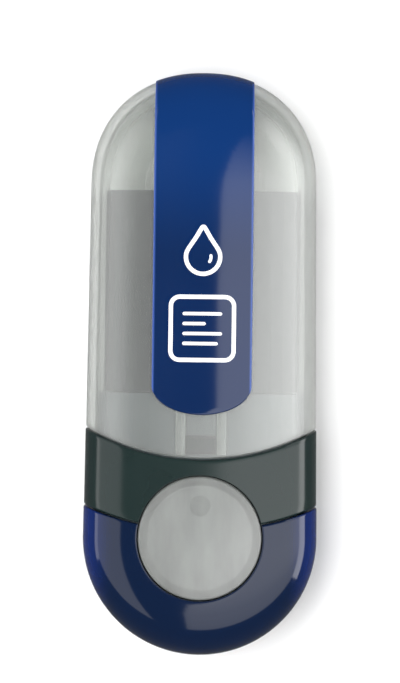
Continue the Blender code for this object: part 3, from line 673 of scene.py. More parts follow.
@dataclass
class Shell:
    """Lays a closed shell along the form, its right half first.

    Attributes:
        form: The rounded form.
        end: The round end that it closes over.
        floor_of: Gives the height of the flat back for an inset.
    """

    form: Form
    end: End = End.TIP
    floor_of: Callable[[float], float] = lambda inset: 0.0

    def arc_centre(self) -> float:
        """Returns the centre of the end that this shell closes over."""
        return self.form.tip_y if self.end is End.TIP else self.form.handle_y

    def column(self, station: Station) -> Array:
        """Places a column's points.

        Args:
            station: The column's station.

        Returns:
            An array of points, from the front's ridge to the middle of the back.
        """
        form = self.form
        inset = station.inset
        shares, heights = form.section(inset, self.floor_of(inset))
        centre = self.arc_centre()
        if station.angle is not None:
            power = form.tip_power if self.end is End.TIP else 2.0
            half = form.half_at(centre, inset)
            across = half * math.cos(station.angle) ** (2 / power) if station.angle < math.pi / 2 else 0.0
            along = half * math.sin(station.angle) ** (2 / power)
            x, y = shares * across, centre + self.end.value * shares * along
            return np.stack([x, y, heights], axis=1)
        y = np.full(len(shares), centre)
        for _ in range(3):
            half = np.array([form.half_at(value, inset) for value in y])
            x = shares * half
            edge = station.seam.y(x) + station.side * station.from_edge
            y = centre + station.share * (edge - centre)
        return np.stack([x, y, heights], axis=1)

    def build(self, name: str, stations: Sequence[Station], ring: bool) -> bpy.types.Mesh:
        """Builds the shell as a mesh.

        Args:
            name: The mesh's name.
            stations: Its columns.
            ring: True where the last column joins the first, as round a band.

        Returns:
            The closed mesh.
        """
        grid = np.stack([self.column(station) for station in stations])
        grid[:, 0, 0] = 0.0
        grid[:, -1, 0] = 0.0
        return mesh_of_grid(name, grid, ring=ring, mirror=True)


def mesh_of_grid(name: str, grid: Array, ring: bool = False, mirror: bool = False) -> bpy.types.Mesh:
    """Makes a closed mesh of a grid of points.

    Args:
        name: The mesh's name.
        grid: Points by column and row.
        ring: True where the last column joins the first.
        mirror: True to add the half on the other side of the plane X = 0.

    Returns:
        The mesh, with its doubles merged and its faces pointing out.
    """
    columns, rows, _ = grid.shape
    bm = bmesh.new()
    signs = (1, -1) if mirror else (1,)
    for sign in signs:
        verts = [[bm.verts.new((sign * p[0], p[1], p[2])) for p in column] for column in grid]
        last = columns if ring else columns - 1
        for c in range(last):
            here, there = verts[c], verts[(c + 1) % columns]
            for r in range(rows - 1):
                bm.faces.new((here[r], here[r + 1], there[r + 1], there[r]))
    return finished(bm, name)


def clean(bm: bmesh.types.BMesh) -> None:
    """Merges doubles and drops collapsed faces, at a few tenths of a micrometre."""
    bmesh.ops.remove_doubles(bm, verts=bm.verts, dist=2e-7)
    bmesh.ops.dissolve_degenerate(bm, edges=bm.edges, dist=1e-7)


def finished(bm: bmesh.types.BMesh, name: str) -> bpy.types.Mesh:
    """Cleans a mesh, points its faces out and returns it."""
    clean(bm)
    bmesh.ops.recalc_face_normals(bm, faces=bm.faces)
    mesh = bpy.data.meshes.new(name)
    bm.to_mesh(mesh)
    bm.free()
    return mesh


def merged(*meshes: bpy.types.Mesh) -> bpy.types.Mesh:
    """Returns one mesh that holds several, each closed by itself."""
    bm = bmesh.new()
    for mesh in meshes:
        bm.from_mesh(mesh)
    joined = bpy.data.meshes.new(meshes[0].name)
    bm.to_mesh(joined)
    bm.free()
    return joined


def box_mesh(
    low: Sequence[float], high: Sequence[float], round_off: float = 0.0, steps: int = 3
) -> bpy.types.Mesh:
    """Makes a box with rounded edges.

    Args:
        low: Its lowest corner.
        high: Its highest corner.
        round_off: The radius of its edges, or 0 to leave them sharp.
        steps: Segments of the rounding.

    Returns:
        The mesh.
    """
    bm = bmesh.new()
    bmesh.ops.create_cube(bm, size=1)
    low_corner, high_corner = Vector(low), Vector(high)
    bmesh.ops.scale(bm, vec=high_corner - low_corner, verts=bm.verts)
    bmesh.ops.translate(bm, vec=(low_corner + high_corner) / 2, verts=bm.verts)
    if round_off:
        bmesh.ops.bevel(
            bm, geom=bm.edges[:], offset=round_off, segments=steps, profile=0.5, affect="EDGES"
        )
    return finished(bm, "box")


def lathe(
    name: str, profile: Sequence[tuple[float, float]], centre: Vector, steps: int = 128
) -> bpy.types.Mesh:
    """Turns a profile of radius and height about a vertical axis.

    Args:
        name: The mesh's name.
        profile: Points of radius and height, from the axis round to the axis.
        centre: The axis's foot.
        steps: Segments of the turn.

    Returns:
        The mesh.
    """
    turns = [2 * math.pi * step / steps for step in range(steps)]
    grid = np.array(
        [
            [(centre.x + r * math.cos(t), centre.y + r * math.sin(t), centre.z + z) for r, z in profile]
            for t in turns
        ]
    )
    return mesh_of_grid(name, grid, ring=True)


def quarter(radius: float, steps: int) -> Iterable[tuple[float, float]]:
    """Yields the sine and cosine of a quarter turn, times a radius."""
    for step in range(steps + 1):
        turn = math.pi / 2 * step / steps
        yield radius * math.sin(turn), radius * math.cos(turn)


@dataclass(frozen=True)
class Stretch:
    """The second body and the two seats of a piece that would stretch between two bodies.

    Attributes:
        other: The second body; not used.
        start: The seat on the first body; not used.
        end: The seat on the second; not used.
    """

    other: Body
    start: Vector
    end: Vector


class Bench:
    """Puts meshes into the scene, cuts them, dresses them and lets them ride."""

    def __init__(self, finishes: Finishes) -> None:
        """Keeps the finishes."""
        self.finishes = finishes

    def scene_object(self, mesh: bpy.types.Mesh, name: str) -> bpy.types.Object:
        """Returns a new object at the origin that shows this mesh."""
        made = bpy.data.objects.new(name, mesh)
        bpy.context.scene.collection.objects.link(made)
        return made

    def combine(self, mesh: bpy.types.Mesh, others: Sequence[tuple[bpy.types.Mesh, str]]) -> bpy.types.Mesh:
        """Cuts or joins a mesh with others, one after the other.

        Args:
            mesh: The mesh to work on.
            others: Meshes, each with DIFFERENCE, UNION or INTERSECT.

        Returns:
            The resulting mesh.
        """
        target = self.scene_object(mesh, "work")
        tools = []
        for other, operation in others:
            tool = self.scene_object(other, "tool")
            tools.append(tool)
            step = target.modifiers.new("cut", "BOOLEAN")
            step.operation = operation
            step.object = tool
        result = real_mesh(target)
        for tool in tools + [target]:
            bpy.data.objects.remove(tool)
        bm = bmesh.new()
        bm.from_mesh(result)
        clean(bm)
        bm.to_mesh(result)
        bm.free()
        return result

    def piece(
        self,
        name: str,
        mesh: bpy.types.Mesh,
        finish: Finish,
        body: Body,
        slot: str,
        replaces: Sequence[str] = (),
        sharp: float = 34.0,
        stretch: Stretch | None = None,
    ) -> bpy.types.Object:
        """Makes a finished piece of the stamp.

        Args:
            name: The piece's name.
            mesh: Its mesh, in place.
            finish: Its finish.
            body: The body it rides on.
            slot: The record's material slot; not used.
            replaces: The CAD nodes it stands for.
            sharp: Edges sharper than this angle, in degrees, stay sharp.
            stretch: The second body and the two seats; where it is given, the piece is baked in place and
                rides on no body.

        Returns:
            The piece's object.
        """
        mesh.name = name
        mesh.materials.clear()
        mesh.materials.append(self.finishes.get(finish))
        mesh.polygons.foreach_set("material_index", [0] * len(mesh.polygons))
        mesh.shade_smooth()
        mesh.set_sharp_from_angle(angle=math.radians(sharp))
        made = self.scene_object(mesh, name)
        if stretch:
            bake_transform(made)
        else:
            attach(made, body.value)
        if replaces:
            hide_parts(*replaces)
        LOG.info("%s: %d faces on %s", name, len(mesh.polygons), body.value)
        return made


def real_mesh(made: bpy.types.Object) -> bpy.types.Mesh:
    """Returns a plain mesh of an object as its modifiers leave it."""
    bpy.context.view_layer.update()
    graph = bpy.context.evaluated_depsgraph_get()
    return bpy.data.meshes.new_from_object(made.evaluated_get(graph))


# Geometry Nodes -----------------------------------------------------------------------------------
class Tree:
    """A Geometry Nodes tree with named inputs, run once to give a plain mesh."""

    def __init__(self, name: str, sizes: dict[str, float]) -> None:
        """Starts a tree.

        Args:
            name: The tree's name.
            sizes: Its inputs, by name, with their values.
        """
        self.tree = bpy.data.node_groups.new(name, "GeometryNodeTree")
        self.sizes = sizes
        self.identifiers: dict[str, str] = {}
        for label, value in sizes.items():
            kind = "NodeSocketInt" if isinstance(value, int) else "NodeSocketFloat"
            socket = self.tree.interface.new_socket(label, in_out="INPUT", socket_type=kind)
            self.identifiers[label] = socket.identifier
        self.tree.interface.new_socket("Geometry", in_out="OUTPUT", socket_type="NodeSocketGeometry")
        self.inputs = add_node(self.tree, "NodeGroupInput")

    def size(self, label: str) -> Any:
        """Returns the output socket of a named input."""
        return self.inputs.outputs[label]

    def add(self, kind: str, inputs: dict | None = None, **settings: Any) -> Any:
        """Adds a node to the tree."""
        return add_node(self.tree, kind, inputs, **settings)

    def math(self, operation: str, *values: Any) -> Any:
        """Adds a Math node and returns its output."""
        return self.add("ShaderNodeMath", dict(enumerate(values)), operation=operation).outputs[0]

    def run(self, geometry: Any, material: bpy.types.Material) -> bpy.types.Mesh:
        """Ends the tree and makes its result real.

        Args:
            geometry: The last geometry socket.
            material: The material to set.

        Returns:
            A plain mesh.
        """
        real = self.add("GeometryNodeRealizeInstances", {"Geometry": geometry})
        dressed = self.add(
            "GeometryNodeSetMaterial", {"Geometry": real.outputs["Geometry"], "Material": material}
        )
        out = add_node(self.tree, "NodeGroupOutput")
        self.tree.links.new(dressed.outputs["Geometry"], out.inputs["Geometry"])
        holder = bpy.data.objects.new("holder", bpy.data.meshes.new("holder"))
        bpy.context.scene.collection.objects.link(holder)
        modifier = holder.modifiers.new("nodes", "NODES")
        modifier.node_group = self.tree
        for label, value in self.sizes.items():
            modifier[self.identifiers[label]] = value
        mesh = real_mesh(holder)
        bpy.data.objects.remove(holder)
        return mesh


@dataclass(frozen=True)
class Spring:
    """A compression spring with closed ends.

    Attributes:
        start: Its first seat.
        end: Its last seat.
        radius: The radius of the coil's middle line.
        wire: The wire's diameter.
        turns: How many turns it has.
    """

    start: Vector
    end: Vector
    radius: float
    wire: float
    turns: int

    def mesh(self, material: bpy.types.Material) -> bpy.types.Mesh:
        """Winds the spring with Geometry Nodes and lays it between its seats.

        Args:
            material: The wire's material.

        Returns:
            The spring's mesh, in place.
        """
        along = self.end - self.start
        nodes = Tree(
            "compression_spring",
            {
                "Radius": self.radius,
                "Wire radius": self.wire / 2,
                "Turns": float(self.turns),
                "Lift": along.length - self.wire,
                "Closed share": 1.0 / self.turns,
            },
        )
        lift, closed, wire = nodes.size("Lift"), nodes.size("Closed share"), nodes.size("Wire radius")
        spiral = nodes.add(
            "GeometryNodeCurveSpiral",
            {
                "Resolution": 40,
                "Rotations": nodes.size("Turns"),
                "Start Radius": nodes.size("Radius"),
                "End Radius": nodes.size("Radius"),
                "Height": 0.0,
            },
        )
        share = nodes.add("GeometryNodeSplineParameter").outputs["Factor"]
        # The first and the last turn rise by one wire, and the turns between share the rest.
        dead = nodes.math("MULTIPLY", wire, 2.1)
        open_lift = nodes.math("SUBTRACT", lift, nodes.math("MULTIPLY", dead, 2.0))
        far = nodes.math("SUBTRACT", 1.0, closed)
        first = nodes.add(
            "ShaderNodeMapRange", {"Value": share, "From Max": closed, "To Max": dead}
        ).outputs["Result"]
        middle = nodes.add(
            "ShaderNodeMapRange", {"Value": share, "From Min": closed, "From Max": far, "To Max": open_lift}
        ).outputs["Result"]
        last = nodes.add(
            "ShaderNodeMapRange", {"Value": share, "From Min": far, "To Max": dead}
        ).outputs["Result"]
        height = nodes.math("ADD", nodes.math("ADD", first, middle), nodes.math("ADD", last, wire))
        offset = nodes.add("ShaderNodeCombineXYZ", {"Z": height})
        lifted = nodes.add(
            "GeometryNodeSetPosition",
            {"Geometry": spiral.outputs["Curve"], "Offset": offset.outputs["Vector"]},
        )
        ring = nodes.add("GeometryNodeCurvePrimitiveCircle", {"Resolution": 12, "Radius": wire})
        swept = nodes.add(
            "GeometryNodeCurveToMesh",
            {
                "Curve": lifted.outputs["Geometry"],
                "Profile Curve": ring.outputs["Curve"],
                "Fill Caps": True,
            },
        )
        mesh = nodes.run(swept.outputs["Mesh"], material)
        turn = Vector((0, 0, 1)).rotation_difference(along).to_matrix().to_4x4()
        mesh.transform(Matrix.Translation(self.start) @ turn)
        bm = bmesh.new()
        bm.from_mesh(mesh)
        return finished(bm, "spring")


@dataclass(frozen=True)
class SoftBlock:
    """A block of felt or foam with rounded edges and a napped skin, inside a box.

    Attributes:
        low: The box's lowest corner.
        high: The box's highest corner.
        crown: How far the +Y face falls from its middle to its edges.
        round_off: The radius of its edges.
        nap: How deep the skin's hollows are.
        grain: The size of the hollows.
        spacing: The distance between the mesh's points.
    """

    low: Vector
    high: Vector
    crown: float = 0.0
    round_off: float = 0.28 * MM
    nap: float = 0.07 * MM
    grain: float = 0.5 * MM
    spacing: float = 0.14 * MM

    def mesh(self, material: bpy.types.Material) -> bpy.types.Mesh:
        """Rounds, crowns and roughens a fine block with Geometry Nodes.

        Args:
            material: The block's material.

        Returns:
            The block's mesh, in place.
        """
        size = self.high - self.low
        counts = {f"Points {axis}": max(4, round(run / self.spacing)) for axis, run in zip("XYZ", size)}
        nodes = Tree(
            "soft_block",
            {
                "Width": size.x,
                "Depth": size.y,
                "Height": size.z,
                "Round": self.round_off,
                "Crown": self.crown,
                "Nap": self.nap,
                "Grain": self.grain,
                **counts,
            },
        )

        def vector(operation: str, *values: Any) -> Any:
            """Adds a Vector Math node and returns its vector."""
            node = nodes.add("ShaderNodeVectorMath", dict(enumerate(values)), operation=operation)
            return node.outputs["Vector"]

        full = nodes.add(
            "ShaderNodeCombineXYZ",
            {"X": nodes.size("Width"), "Y": nodes.size("Depth"), "Z": nodes.size("Height")},
        ).outputs["Vector"]
        block = nodes.add(
            "GeometryNodeMeshCube",
            {
                "Size": full,
                **{f"Vertices {axis}": nodes.size(f"Points {axis}") for axis in "XYZ"},
            },
        )
        place = nodes.add("GeometryNodeInputPosition").outputs["Position"]
        half = vector("MULTIPLY", full, (0.5, 0.5, 0.5))
        core = vector("SUBTRACT", half, nodes.size("Round"))
        inner = vector("MAXIMUM", vector("MINIMUM", place, core), vector("MULTIPLY", core, (-1, -1, -1)))
        away = vector("NORMALIZE", vector("SUBTRACT", place, inner))
        rounded = vector("ADD", inner, vector("MULTIPLY", away, nodes.size("Round")))
        share = nodes.add(
            "ShaderNodeSeparateXYZ", {"Vector": vector("DIVIDE", place, half)}
        ).outputs
        fall_x, fall_z = (nodes.math("POWER", nodes.math("ABSOLUTE", share[axis]), 2.0) for axis in "XZ")
        open_side = nodes.math("MAXIMUM", share["Y"], 0.0)
        fall = nodes.math("MINIMUM", nodes.math("ADD", fall_x, fall_z), 1.0)
        drop = nodes.math("MULTIPLY", nodes.math("MULTIPLY", fall, open_side), nodes.size("Crown"))
        crowned = vector(
            "SUBTRACT", rounded, nodes.add("ShaderNodeCombineXYZ", {"Y": drop}).outputs["Vector"]
        )
        shaped = nodes.add(
            "GeometryNodeSetPosition", {"Geometry": block.outputs["Mesh"], "Position": crowned}
        )
        speckle = nodes.add(
            "ShaderNodeTexNoise",
            {"Scale": nodes.math("DIVIDE", 1.0, nodes.size("Grain")), "Detail": 2.0},
        ).outputs[0]
        depth = nodes.math("MULTIPLY", nodes.math("SUBTRACT", speckle, 1.0), nodes.size("Nap"))
        normal = nodes.add("GeometryNodeInputNormal").outputs["Normal"]
        napped = nodes.add(
            "GeometryNodeSetPosition",
            {"Geometry": shaped.outputs["Geometry"], "Offset": vector("MULTIPLY", normal, depth)},
        )
        mesh = nodes.run(napped.outputs["Geometry"], material)
        mesh.transform(Matrix.Translation((self.low + self.high) / 2))
        return mesh


@dataclass(frozen=True)
class Relief:
    """A rubber printing plate whose +Y face carries a raised border and rows of plain bars.

    Attributes:
        low: The plate's lowest corner.
        high: The plate's highest corner.
        depth: How far the relief stands above the plate's ground.
        border: The width of the border.
        inset: From the plate's edge to the border.
        root: How deep the relief's feet lie in the ground.
        plate_edge: The radius of the ground's edges.
        rows: Rows of bars.
        columns: Bars in a row.
    """

    low: Vector
    high: Vector
    depth: float = 0.45 * MM
    border: float = 0.5 * MM
    inset: float = 0.3 * MM
    root: float = 0.05 * MM
    plate_edge: float = 0.1 * MM
    rows: int = 4
    columns: int = 7

    def bars(self, material: bpy.types.Material) -> bpy.types.Mesh:
        """Sets the bars out on a grid with Geometry Nodes, each of its own length.

        Args:
            material: The bars' material.

        Returns:
            The bars, about the origin in X and Y, with their feet at Z 0.
        """
        size = self.high - self.low
        inner_x, inner_z = size.x - 6 * self.border, size.z - 6 * self.border
        nodes = Tree(
            "printing_relief",
            {
                "Width": inner_x * (1 - 1 / self.columns),
                "Height": inner_z * (1 - 1 / self.rows),
                "Rows": self.rows,
                "Columns": self.columns,
                "Bar length": inner_x / self.columns,
                "Bar width": inner_z / self.rows * 0.45,
                "Rise": self.depth,
                "Seed": 4,
            },
        )
        grid = nodes.add(
            "GeometryNodeMeshGrid",
            {
                "Size X": nodes.size("Width"),
                "Size Y": nodes.size("Height"),
                "Vertices X": nodes.size("Columns"),
                "Vertices Y": nodes.size("Rows"),
            },
        )
        full = nodes.add(
            "ShaderNodeCombineXYZ",
            {"X": nodes.size("Bar length"), "Y": nodes.size("Bar width"), "Z": nodes.size("Rise")},
        ).outputs["Vector"]
        bar = nodes.add("GeometryNodeMeshCube", {"Size": full})
        length = nodes.add(
            "FunctionNodeRandomValue",
            {"Min": 0.45, "Max": 0.9, "Seed": nodes.size("Seed")},
            data_type="FLOAT",
        ).outputs["Value"]
        scale = nodes.add("ShaderNodeCombineXYZ", {"X": length, "Y": 1.0, "Z": 1.0}).outputs["Vector"]
        placed = nodes.add(
            "GeometryNodeInstanceOnPoints",
            {"Points": grid.outputs["Mesh"], "Instance": bar.outputs["Mesh"], "Scale": scale},
        )
        return nodes.run(placed.outputs["Instances"], material)

    def mesh(self, material: bpy.types.Material) -> bpy.types.Mesh:
        """Joins the ground, the border and the bars.

        Args:
            material: The plate's material.

        Returns:
            The plate's mesh, in place.
        """
        low, high, edge, inset = self.low, self.high, self.border, self.inset
        ground = high.y - self.depth
        sunk = ground - self.root
        parts = [box_mesh(low, (high.x, ground, high.z), self.plate_edge)]
        x_low, x_high, z_low, z_high = low.x + inset, high.x - inset, low.z + inset, high.z - inset
        for start, end in (
            ((x_low, sunk, z_low), (x_high, high.y, z_low + edge)),
            ((x_low, sunk, z_high - edge), (x_high, high.y, z_high)),
            ((x_low, sunk, z_low + edge), (x_low + edge, high.y, z_high - edge)),
            ((x_high - edge, sunk, z_low + edge), (x_high, high.y, z_high - edge)),
        ):
            parts.append(box_mesh(start, end))
        bars = self.bars(material)
        middle = (low + high) / 2
        turned = Matrix.Rotation(-math.pi / 2, 4, "X")
        bars.transform(Matrix.Translation((middle.x, high.y - self.depth / 2, middle.z)) @ turned)
        return merged(*parts, bars)



# Outer pieces -------------------------------------------------------------------------------------
@dataclass
class Outside:
    """Everything seen with the stamp closed: cap, strip, collar, handle and button.

    Attributes:
        bench: Makes the pieces.
        form: The skin.
        cap_seam: Between the cap and the collar.
        handle_seam: Between the collar and the handle.
        button_centre: The foot of the button's axis.
        seam_gap: The width of both seams.
        wall: The shells' thickness.
        cap_step: How far the cap lies under the skin.
        collar_step: How far the collar lies under the skin.
        collar_extra: How much thicker the collar's wall is.
        floor_zone: Walls with an inset below a step and this lie on the back's outer face.
        edge: The radius of the outer edges at the seams.
        inner_edge: The radius of the inner ones.
        arc_steps: Steps of a shell over its round end.
        run_steps: Steps of a shell along its straight part.
        band_steps: Steps along the collar.
        bore_gap: The gap round the button.
        button_radius: The button's radius.
        button_dome: How far its face falls from the middle to the rim.
        button_rim: The radius of its upper edge.
        button_wall: The thickness of its skirt.
        button_floor: The thickness of its face at the rim.
        skirt_edge: The chamfer at the skirt's foot.
        skirt_fillet: The chamfer between its skirt and its face.
        stem_radius: The radius of the stem that works the latch.
        stem_shift: How far the stem stands from the button's axis.
        strip_half: Half the strip's width.
        strip_end_depth: How deep the half ellipse is at each end of the strip.
        strip_front_offset: From the cap's seam to the strip's end on the front.
        strip_back_offset: From the tip's centre to the strip's end on the back.
        strip_thickness: The strip's thickness.
        strip_proud: How far it stands over the skin.
        strip_gap: The gap round it.
        strip_edge: The radius of its edge.
        rib_spacing: Between the two guide ribs.
        rib_width: A rib's width.
        rib_depth: How far a rib hangs from the cap's ceiling.
        rib_gap: From a rib's ends to the seam and to the block.
    """

    bench: Bench
    form: Form
    cap_seam: Seam
    handle_seam: Seam
    button_centre: Vector
    seam_gap: float = 0.2 * MM
    wall: float = 1.3 * MM
    cap_step: float = 0.12 * MM
    collar_step: float = 0.06 * MM
    collar_extra: float = 0.06 * MM
    floor_zone: float = 0.7 * MM
    edge: float = 0.28 * MM
    inner_edge: float = 0.15 * MM
    arc_steps: int = 34
    run_steps: int = 22
    band_steps: int = 14
    bore_gap: float = 0.2 * MM
    button_radius: float = 9.0 * MM
    button_dome: float = 0.7 * MM
    button_rim: float = 0.35 * MM
    button_wall: float = 1.0 * MM
    button_floor: float = 1.3 * MM
    skirt_edge: float = 0.1 * MM
    skirt_fillet: float = 0.3 * MM
    stem_radius: float = 1.5 * MM
    stem_shift: float = 4.7 * MM
    strip_half: float = 7.3 * MM
    strip_end_depth: float = 4.25 * MM
    strip_front_offset: float = 6.45 * MM
    strip_back_offset: float = 6.85 * MM
    strip_thickness: float = 0.8 * MM
    strip_proud: float = STRIP_PROUD
    strip_gap: float = 0.04 * MM
    strip_edge: float = 0.22 * MM
    rib_spacing: float = 6.0 * MM
    rib_width: float = 1.4 * MM
    rib_depth: float = 0.6 * MM
    rib_gap: tuple[float, float] = (0.4 * MM, 0.5 * MM)

    def shell(self, end: End, step: float) -> Shell:
        """Returns the layer of shells at a step under the skin, whose back is flat at the ground."""
        return Shell(self.form, end, lambda inset: inset - step if inset < step + self.floor_zone else inset)

    def end_shell(self, name: str, end: End, seam: Seam, step: float) -> bpy.types.Mesh:
        """Builds the shell that closes over one end.

        Args:
            name: The mesh's name.
            end: The end.
            seam: The seam of its mouth.
            step: How far it lies under the skin.

        Returns:
            The shell's mesh.
        """
        inner = step + self.wall
        side = end.value
        cut = Seam(seam.centre_y, seam.radius - side * self.seam_gap / 2)
        arc = range(self.arc_steps + 1)
        run = [i / self.run_steps for i in range(1, self.run_steps)]
        outer = [Station(step, cut, side, angle=math.pi / 2 * (1 - i / self.arc_steps)) for i in arc]
        outer += [Station(step, cut, side, share=share, from_edge=self.edge) for share in run]
        mouth = lip(cut, side, step, inner, self.edge, self.inner_edge)
        inside = [Station(inner, cut, side, share=1 - share, from_edge=self.inner_edge) for share in run]
        inside += [Station(inner, cut, side, angle=math.pi / 2 * i / self.arc_steps) for i in arc]
        return self.shell(end, step).build(name, outer + mouth + inside, ring=False)

    def strip_patch(self, grow: float, columns: int, rows: int, rim: Sequence[float]) -> Array:
        """Lays the strip's surface on the skin, over the tip from front to back.

        Args:
            grow: How far its outline is grown.
            columns: Steps across, between its rims.
            rows: Steps along, between its rims.
            rim: Distances from the edge of the lines that its rounded edge needs.

        Returns:
            Points by column and row.
        """
        form = self.form
        half, depth = self.strip_half + grow, self.strip_end_depth + grow
        inner = np.linspace(-half + rim[-1], half - rim[-1], columns + 1)
        edge = np.array(rim[:-1])
        across = np.concatenate([-half + edge, inner, (half - edge)[::-1]])
        front_end = self.cap_seam.y(0.0) + self.strip_front_offset - grow
        back_end = form.tip_y + self.strip_back_offset - grow
        lines = []
        for x in across:
            bend = depth * (1 - math.sqrt(max(1 - (x / half) ** 2, 0.0)))
            lines.append(self.path_over_tip(float(x), front_end + bend, back_end + bend, rows, rim))
        return np.stack(lines)

    def path_over_tip(
        self, x: float, front_end: float, back_end: float, rows: int, rim: Sequence[float]
    ) -> Array:
        """Follows the skin at one x from the front, over the tip, to the back.

        Args:
            x: Where the path lies.
            front_end: Its start on the front.
            back_end: Its end on the back.
            rows: Steps along it, between its rims.
            rim: Distances from each end of its first and last points.

        Returns:
            The points.
        """
        form = self.form
        inset = -self.strip_proud
        run = np.linspace(front_end, form.tip_y, 160)
        halves = np.array([form.half_at(value, inset) for value in run])
        straight = np.stack([run, form.front_z(np.abs(x) / halves, inset)], axis=1)
        half = form.half_at(form.tip_y, inset)
        least = abs(x) / half
        turn = np.linspace(math.asin(least ** (form.power / 2)), math.pi / 2, 700)[1:]
        share = np.sin(turn) ** (2 / form.power)
        power = form.tip_power
        along = form.tip_y + np.maximum((share * half) ** power - abs(x) ** power, 0) ** (1 / power)
        over = np.stack([along, form.front_z(share, inset)], axis=1)
        under = np.stack([along, form.back_z(share, inset, 0.0)], axis=1)[::-1][1:]
        under = under[under[:, 0] > back_end]
        path = np.concatenate([straight, over, under])
        length = np.concatenate([[0], np.cumsum(np.hypot(*np.diff(path, axis=0).T))])
        total = length[-1]
        heading = np.unwrap(np.arctan2(*np.diff(path, axis=0).T[::-1]))
        bend = np.concatenate([[0], np.abs(np.diff(heading, prepend=heading[0]))])
        measure = length + np.cumsum(bend) * 3 * MM
        low, high = np.interp([rim[-1], total - rim[-1]], length, measure)
        middle = np.interp(np.linspace(low, high, rows + 1), measure, length)
        edge = np.array(rim[:-1])
        stations = np.concatenate([edge, middle, total - edge[::-1]])
        y, z = np.interp(stations, length, path[:, 0]), np.interp(stations, length, path[:, 1])
        return np.stack([np.full(len(y), x), y, z], axis=1)

    def slab(
        self, name: str, patch: Array, rim: Sequence[float], top: float, bottom: float
    ) -> bpy.types.Mesh:
        """Gives a patch of the skin its thickness and a rounded upper edge.

        Args:
            name: The mesh's name.
            patch: Points by column and row.
            rim: Distances of its first lines from the edge.
            top: How far its upper face stands over the patch.
            bottom: How far its lower face lies under the patch.

        Returns:
            The closed slab.
        """
        normals = grid_normals(patch)
        radius = rim[-1]
        sink = [radius - math.sqrt(max(radius**2 - (radius - d) ** 2, 0.0)) for d in rim]
        columns, rows, _ = patch.shape
        by_column, by_row = np.zeros(columns), np.zeros(rows)
        for index, value in enumerate(sink):
            by_column[index] = by_column[columns - 1 - index] = value
            by_row[index] = by_row[rows - 1 - index] = value
        depth = np.minimum(np.hypot(by_column[:, None], by_row[None, :]), radius)
        upper = patch + normals * (top - depth)[..., None]
        lower = patch - normals * bottom
        bm = bmesh.new()
        sheets = []
        for sheet, flip in ((upper, False), (lower, True)):
            verts = [[bm.verts.new(p) for p in column] for column in sheet]
            for c in range(columns - 1):
                for r in range(rows - 1):
                    face = (verts[c][r], verts[c + 1][r], verts[c + 1][r + 1], verts[c][r + 1])
                    bm.faces.new(face[::-1] if flip else face)
            sheets.append(verts)
        around = [(c, 0) for c in range(columns)]
        around += [(columns - 1, r) for r in range(1, rows)]
        around += [(c, rows - 1) for c in range(columns - 2, -1, -1)]
        around += [(0, r) for r in range(rows - 2, 0, -1)]
        high, deep = sheets
        for (a, b), (c, d) in zip(around, around[1:] + around[:1]):
            bm.faces.new((high[a][b], deep[a][b], deep[c][d], high[c][d]))
        return finished(bm, name)

    def cap(self) -> None:
        """Makes the milky cap, with the recess for its strip and two guide ribs inside."""
        shell = self.end_shell("cap_shell_skin", End.TIP, self.cap_seam, self.cap_step)
        rim = (0.0, 0.05 * MM)
        recess_patch = self.strip_patch(self.strip_gap, 24, 90, rim)
        under = self.strip_thickness + self.strip_gap
        recess = self.slab("recess", recess_patch, (0.0, 1e-6), 1.0 * MM, under)
        mesh = self.bench.combine(shell, [(recess, "DIFFERENCE")])
        self.bench.piece(
            "cap_shell_skin", mesh, Finish.MILKY_POLYPROPYLENE, Body.CAP, "milky_cap", ["cap_shell"]
        )
        block_low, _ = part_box("base_frame")
        inside = 2 * self.form.middle_z - self.cap_step - self.wall
        for sign, name in ((-1, "cap_guide_rib_left"), (1, "cap_guide_rib_right")):
            x = sign * self.rib_spacing / 2
            start = float(self.cap_seam.y(x)) + self.rib_gap[0]
            rib = box_mesh(
                (x - self.rib_width / 2, start, inside - self.rib_depth + 0.05 * MM),
                (x + self.rib_width / 2, block_low.y - self.rib_gap[1], inside + 0.25 * MM),
                0.15 * MM,
            )
            self.bench.piece(name, rib, Finish.MILKY_POLYPROPYLENE, Body.CAP, "milky_cap")

    def strip(self) -> None:
        """Makes the glossy blue strip, with a rounded edge that catches the light."""
        radius = self.strip_edge
        rim = [radius * (1 - math.cos(math.pi / 2 * step / 4)) for step in range(5)]
        patch = self.strip_patch(0.0, 28, 120, rim)
        mesh = self.slab("cap_strip_skin", patch, rim, 0.0, self.strip_thickness)
        self.bench.piece(
            "cap_strip_skin", mesh, Finish.BLUE_STRIP, Body.CAP, "blue_gloss", ["cap_strip"], sharp=50
        )

    def bore(self, radius: float, low_z: float) -> bpy.types.Mesh:
        """Makes the cutter of the button's hole, flared where it meets the skin.

        Args:
            radius: The hole's radius.
            low_z: Its lowest point.

        Returns:
            The cutter.
        """
        centre = self.button_centre
        # How far out from the hole's wall and how far over the skin the flare runs, in millimetres.
        flare = ((0.0, -0.24), (0.025, -0.13), (0.08, -0.06), (0.16, -0.015), (0.22, 0.0), (0.5, 0.14))
        grid = []
        for turn in 2 * math.pi * np.arange(160) / 160:
            way = np.array([math.cos(turn), math.sin(turn)])
            column = [(centre.x, centre.y, low_z), (*(way * radius + centre.xy), low_z)]
            for out, up in flare:
                spot = way * (radius + out * MM) + centre.xy
                column.append((*spot, self.skin_z(float(spot[0]), float(spot[1])) + up * MM))
            high = 2 * self.form.middle_z + 2 * MM
            column += [(*spot, high), (centre.x, centre.y, high)]
            grid.append(column)
        return mesh_of_grid("bore", np.array(grid, float), ring=True)

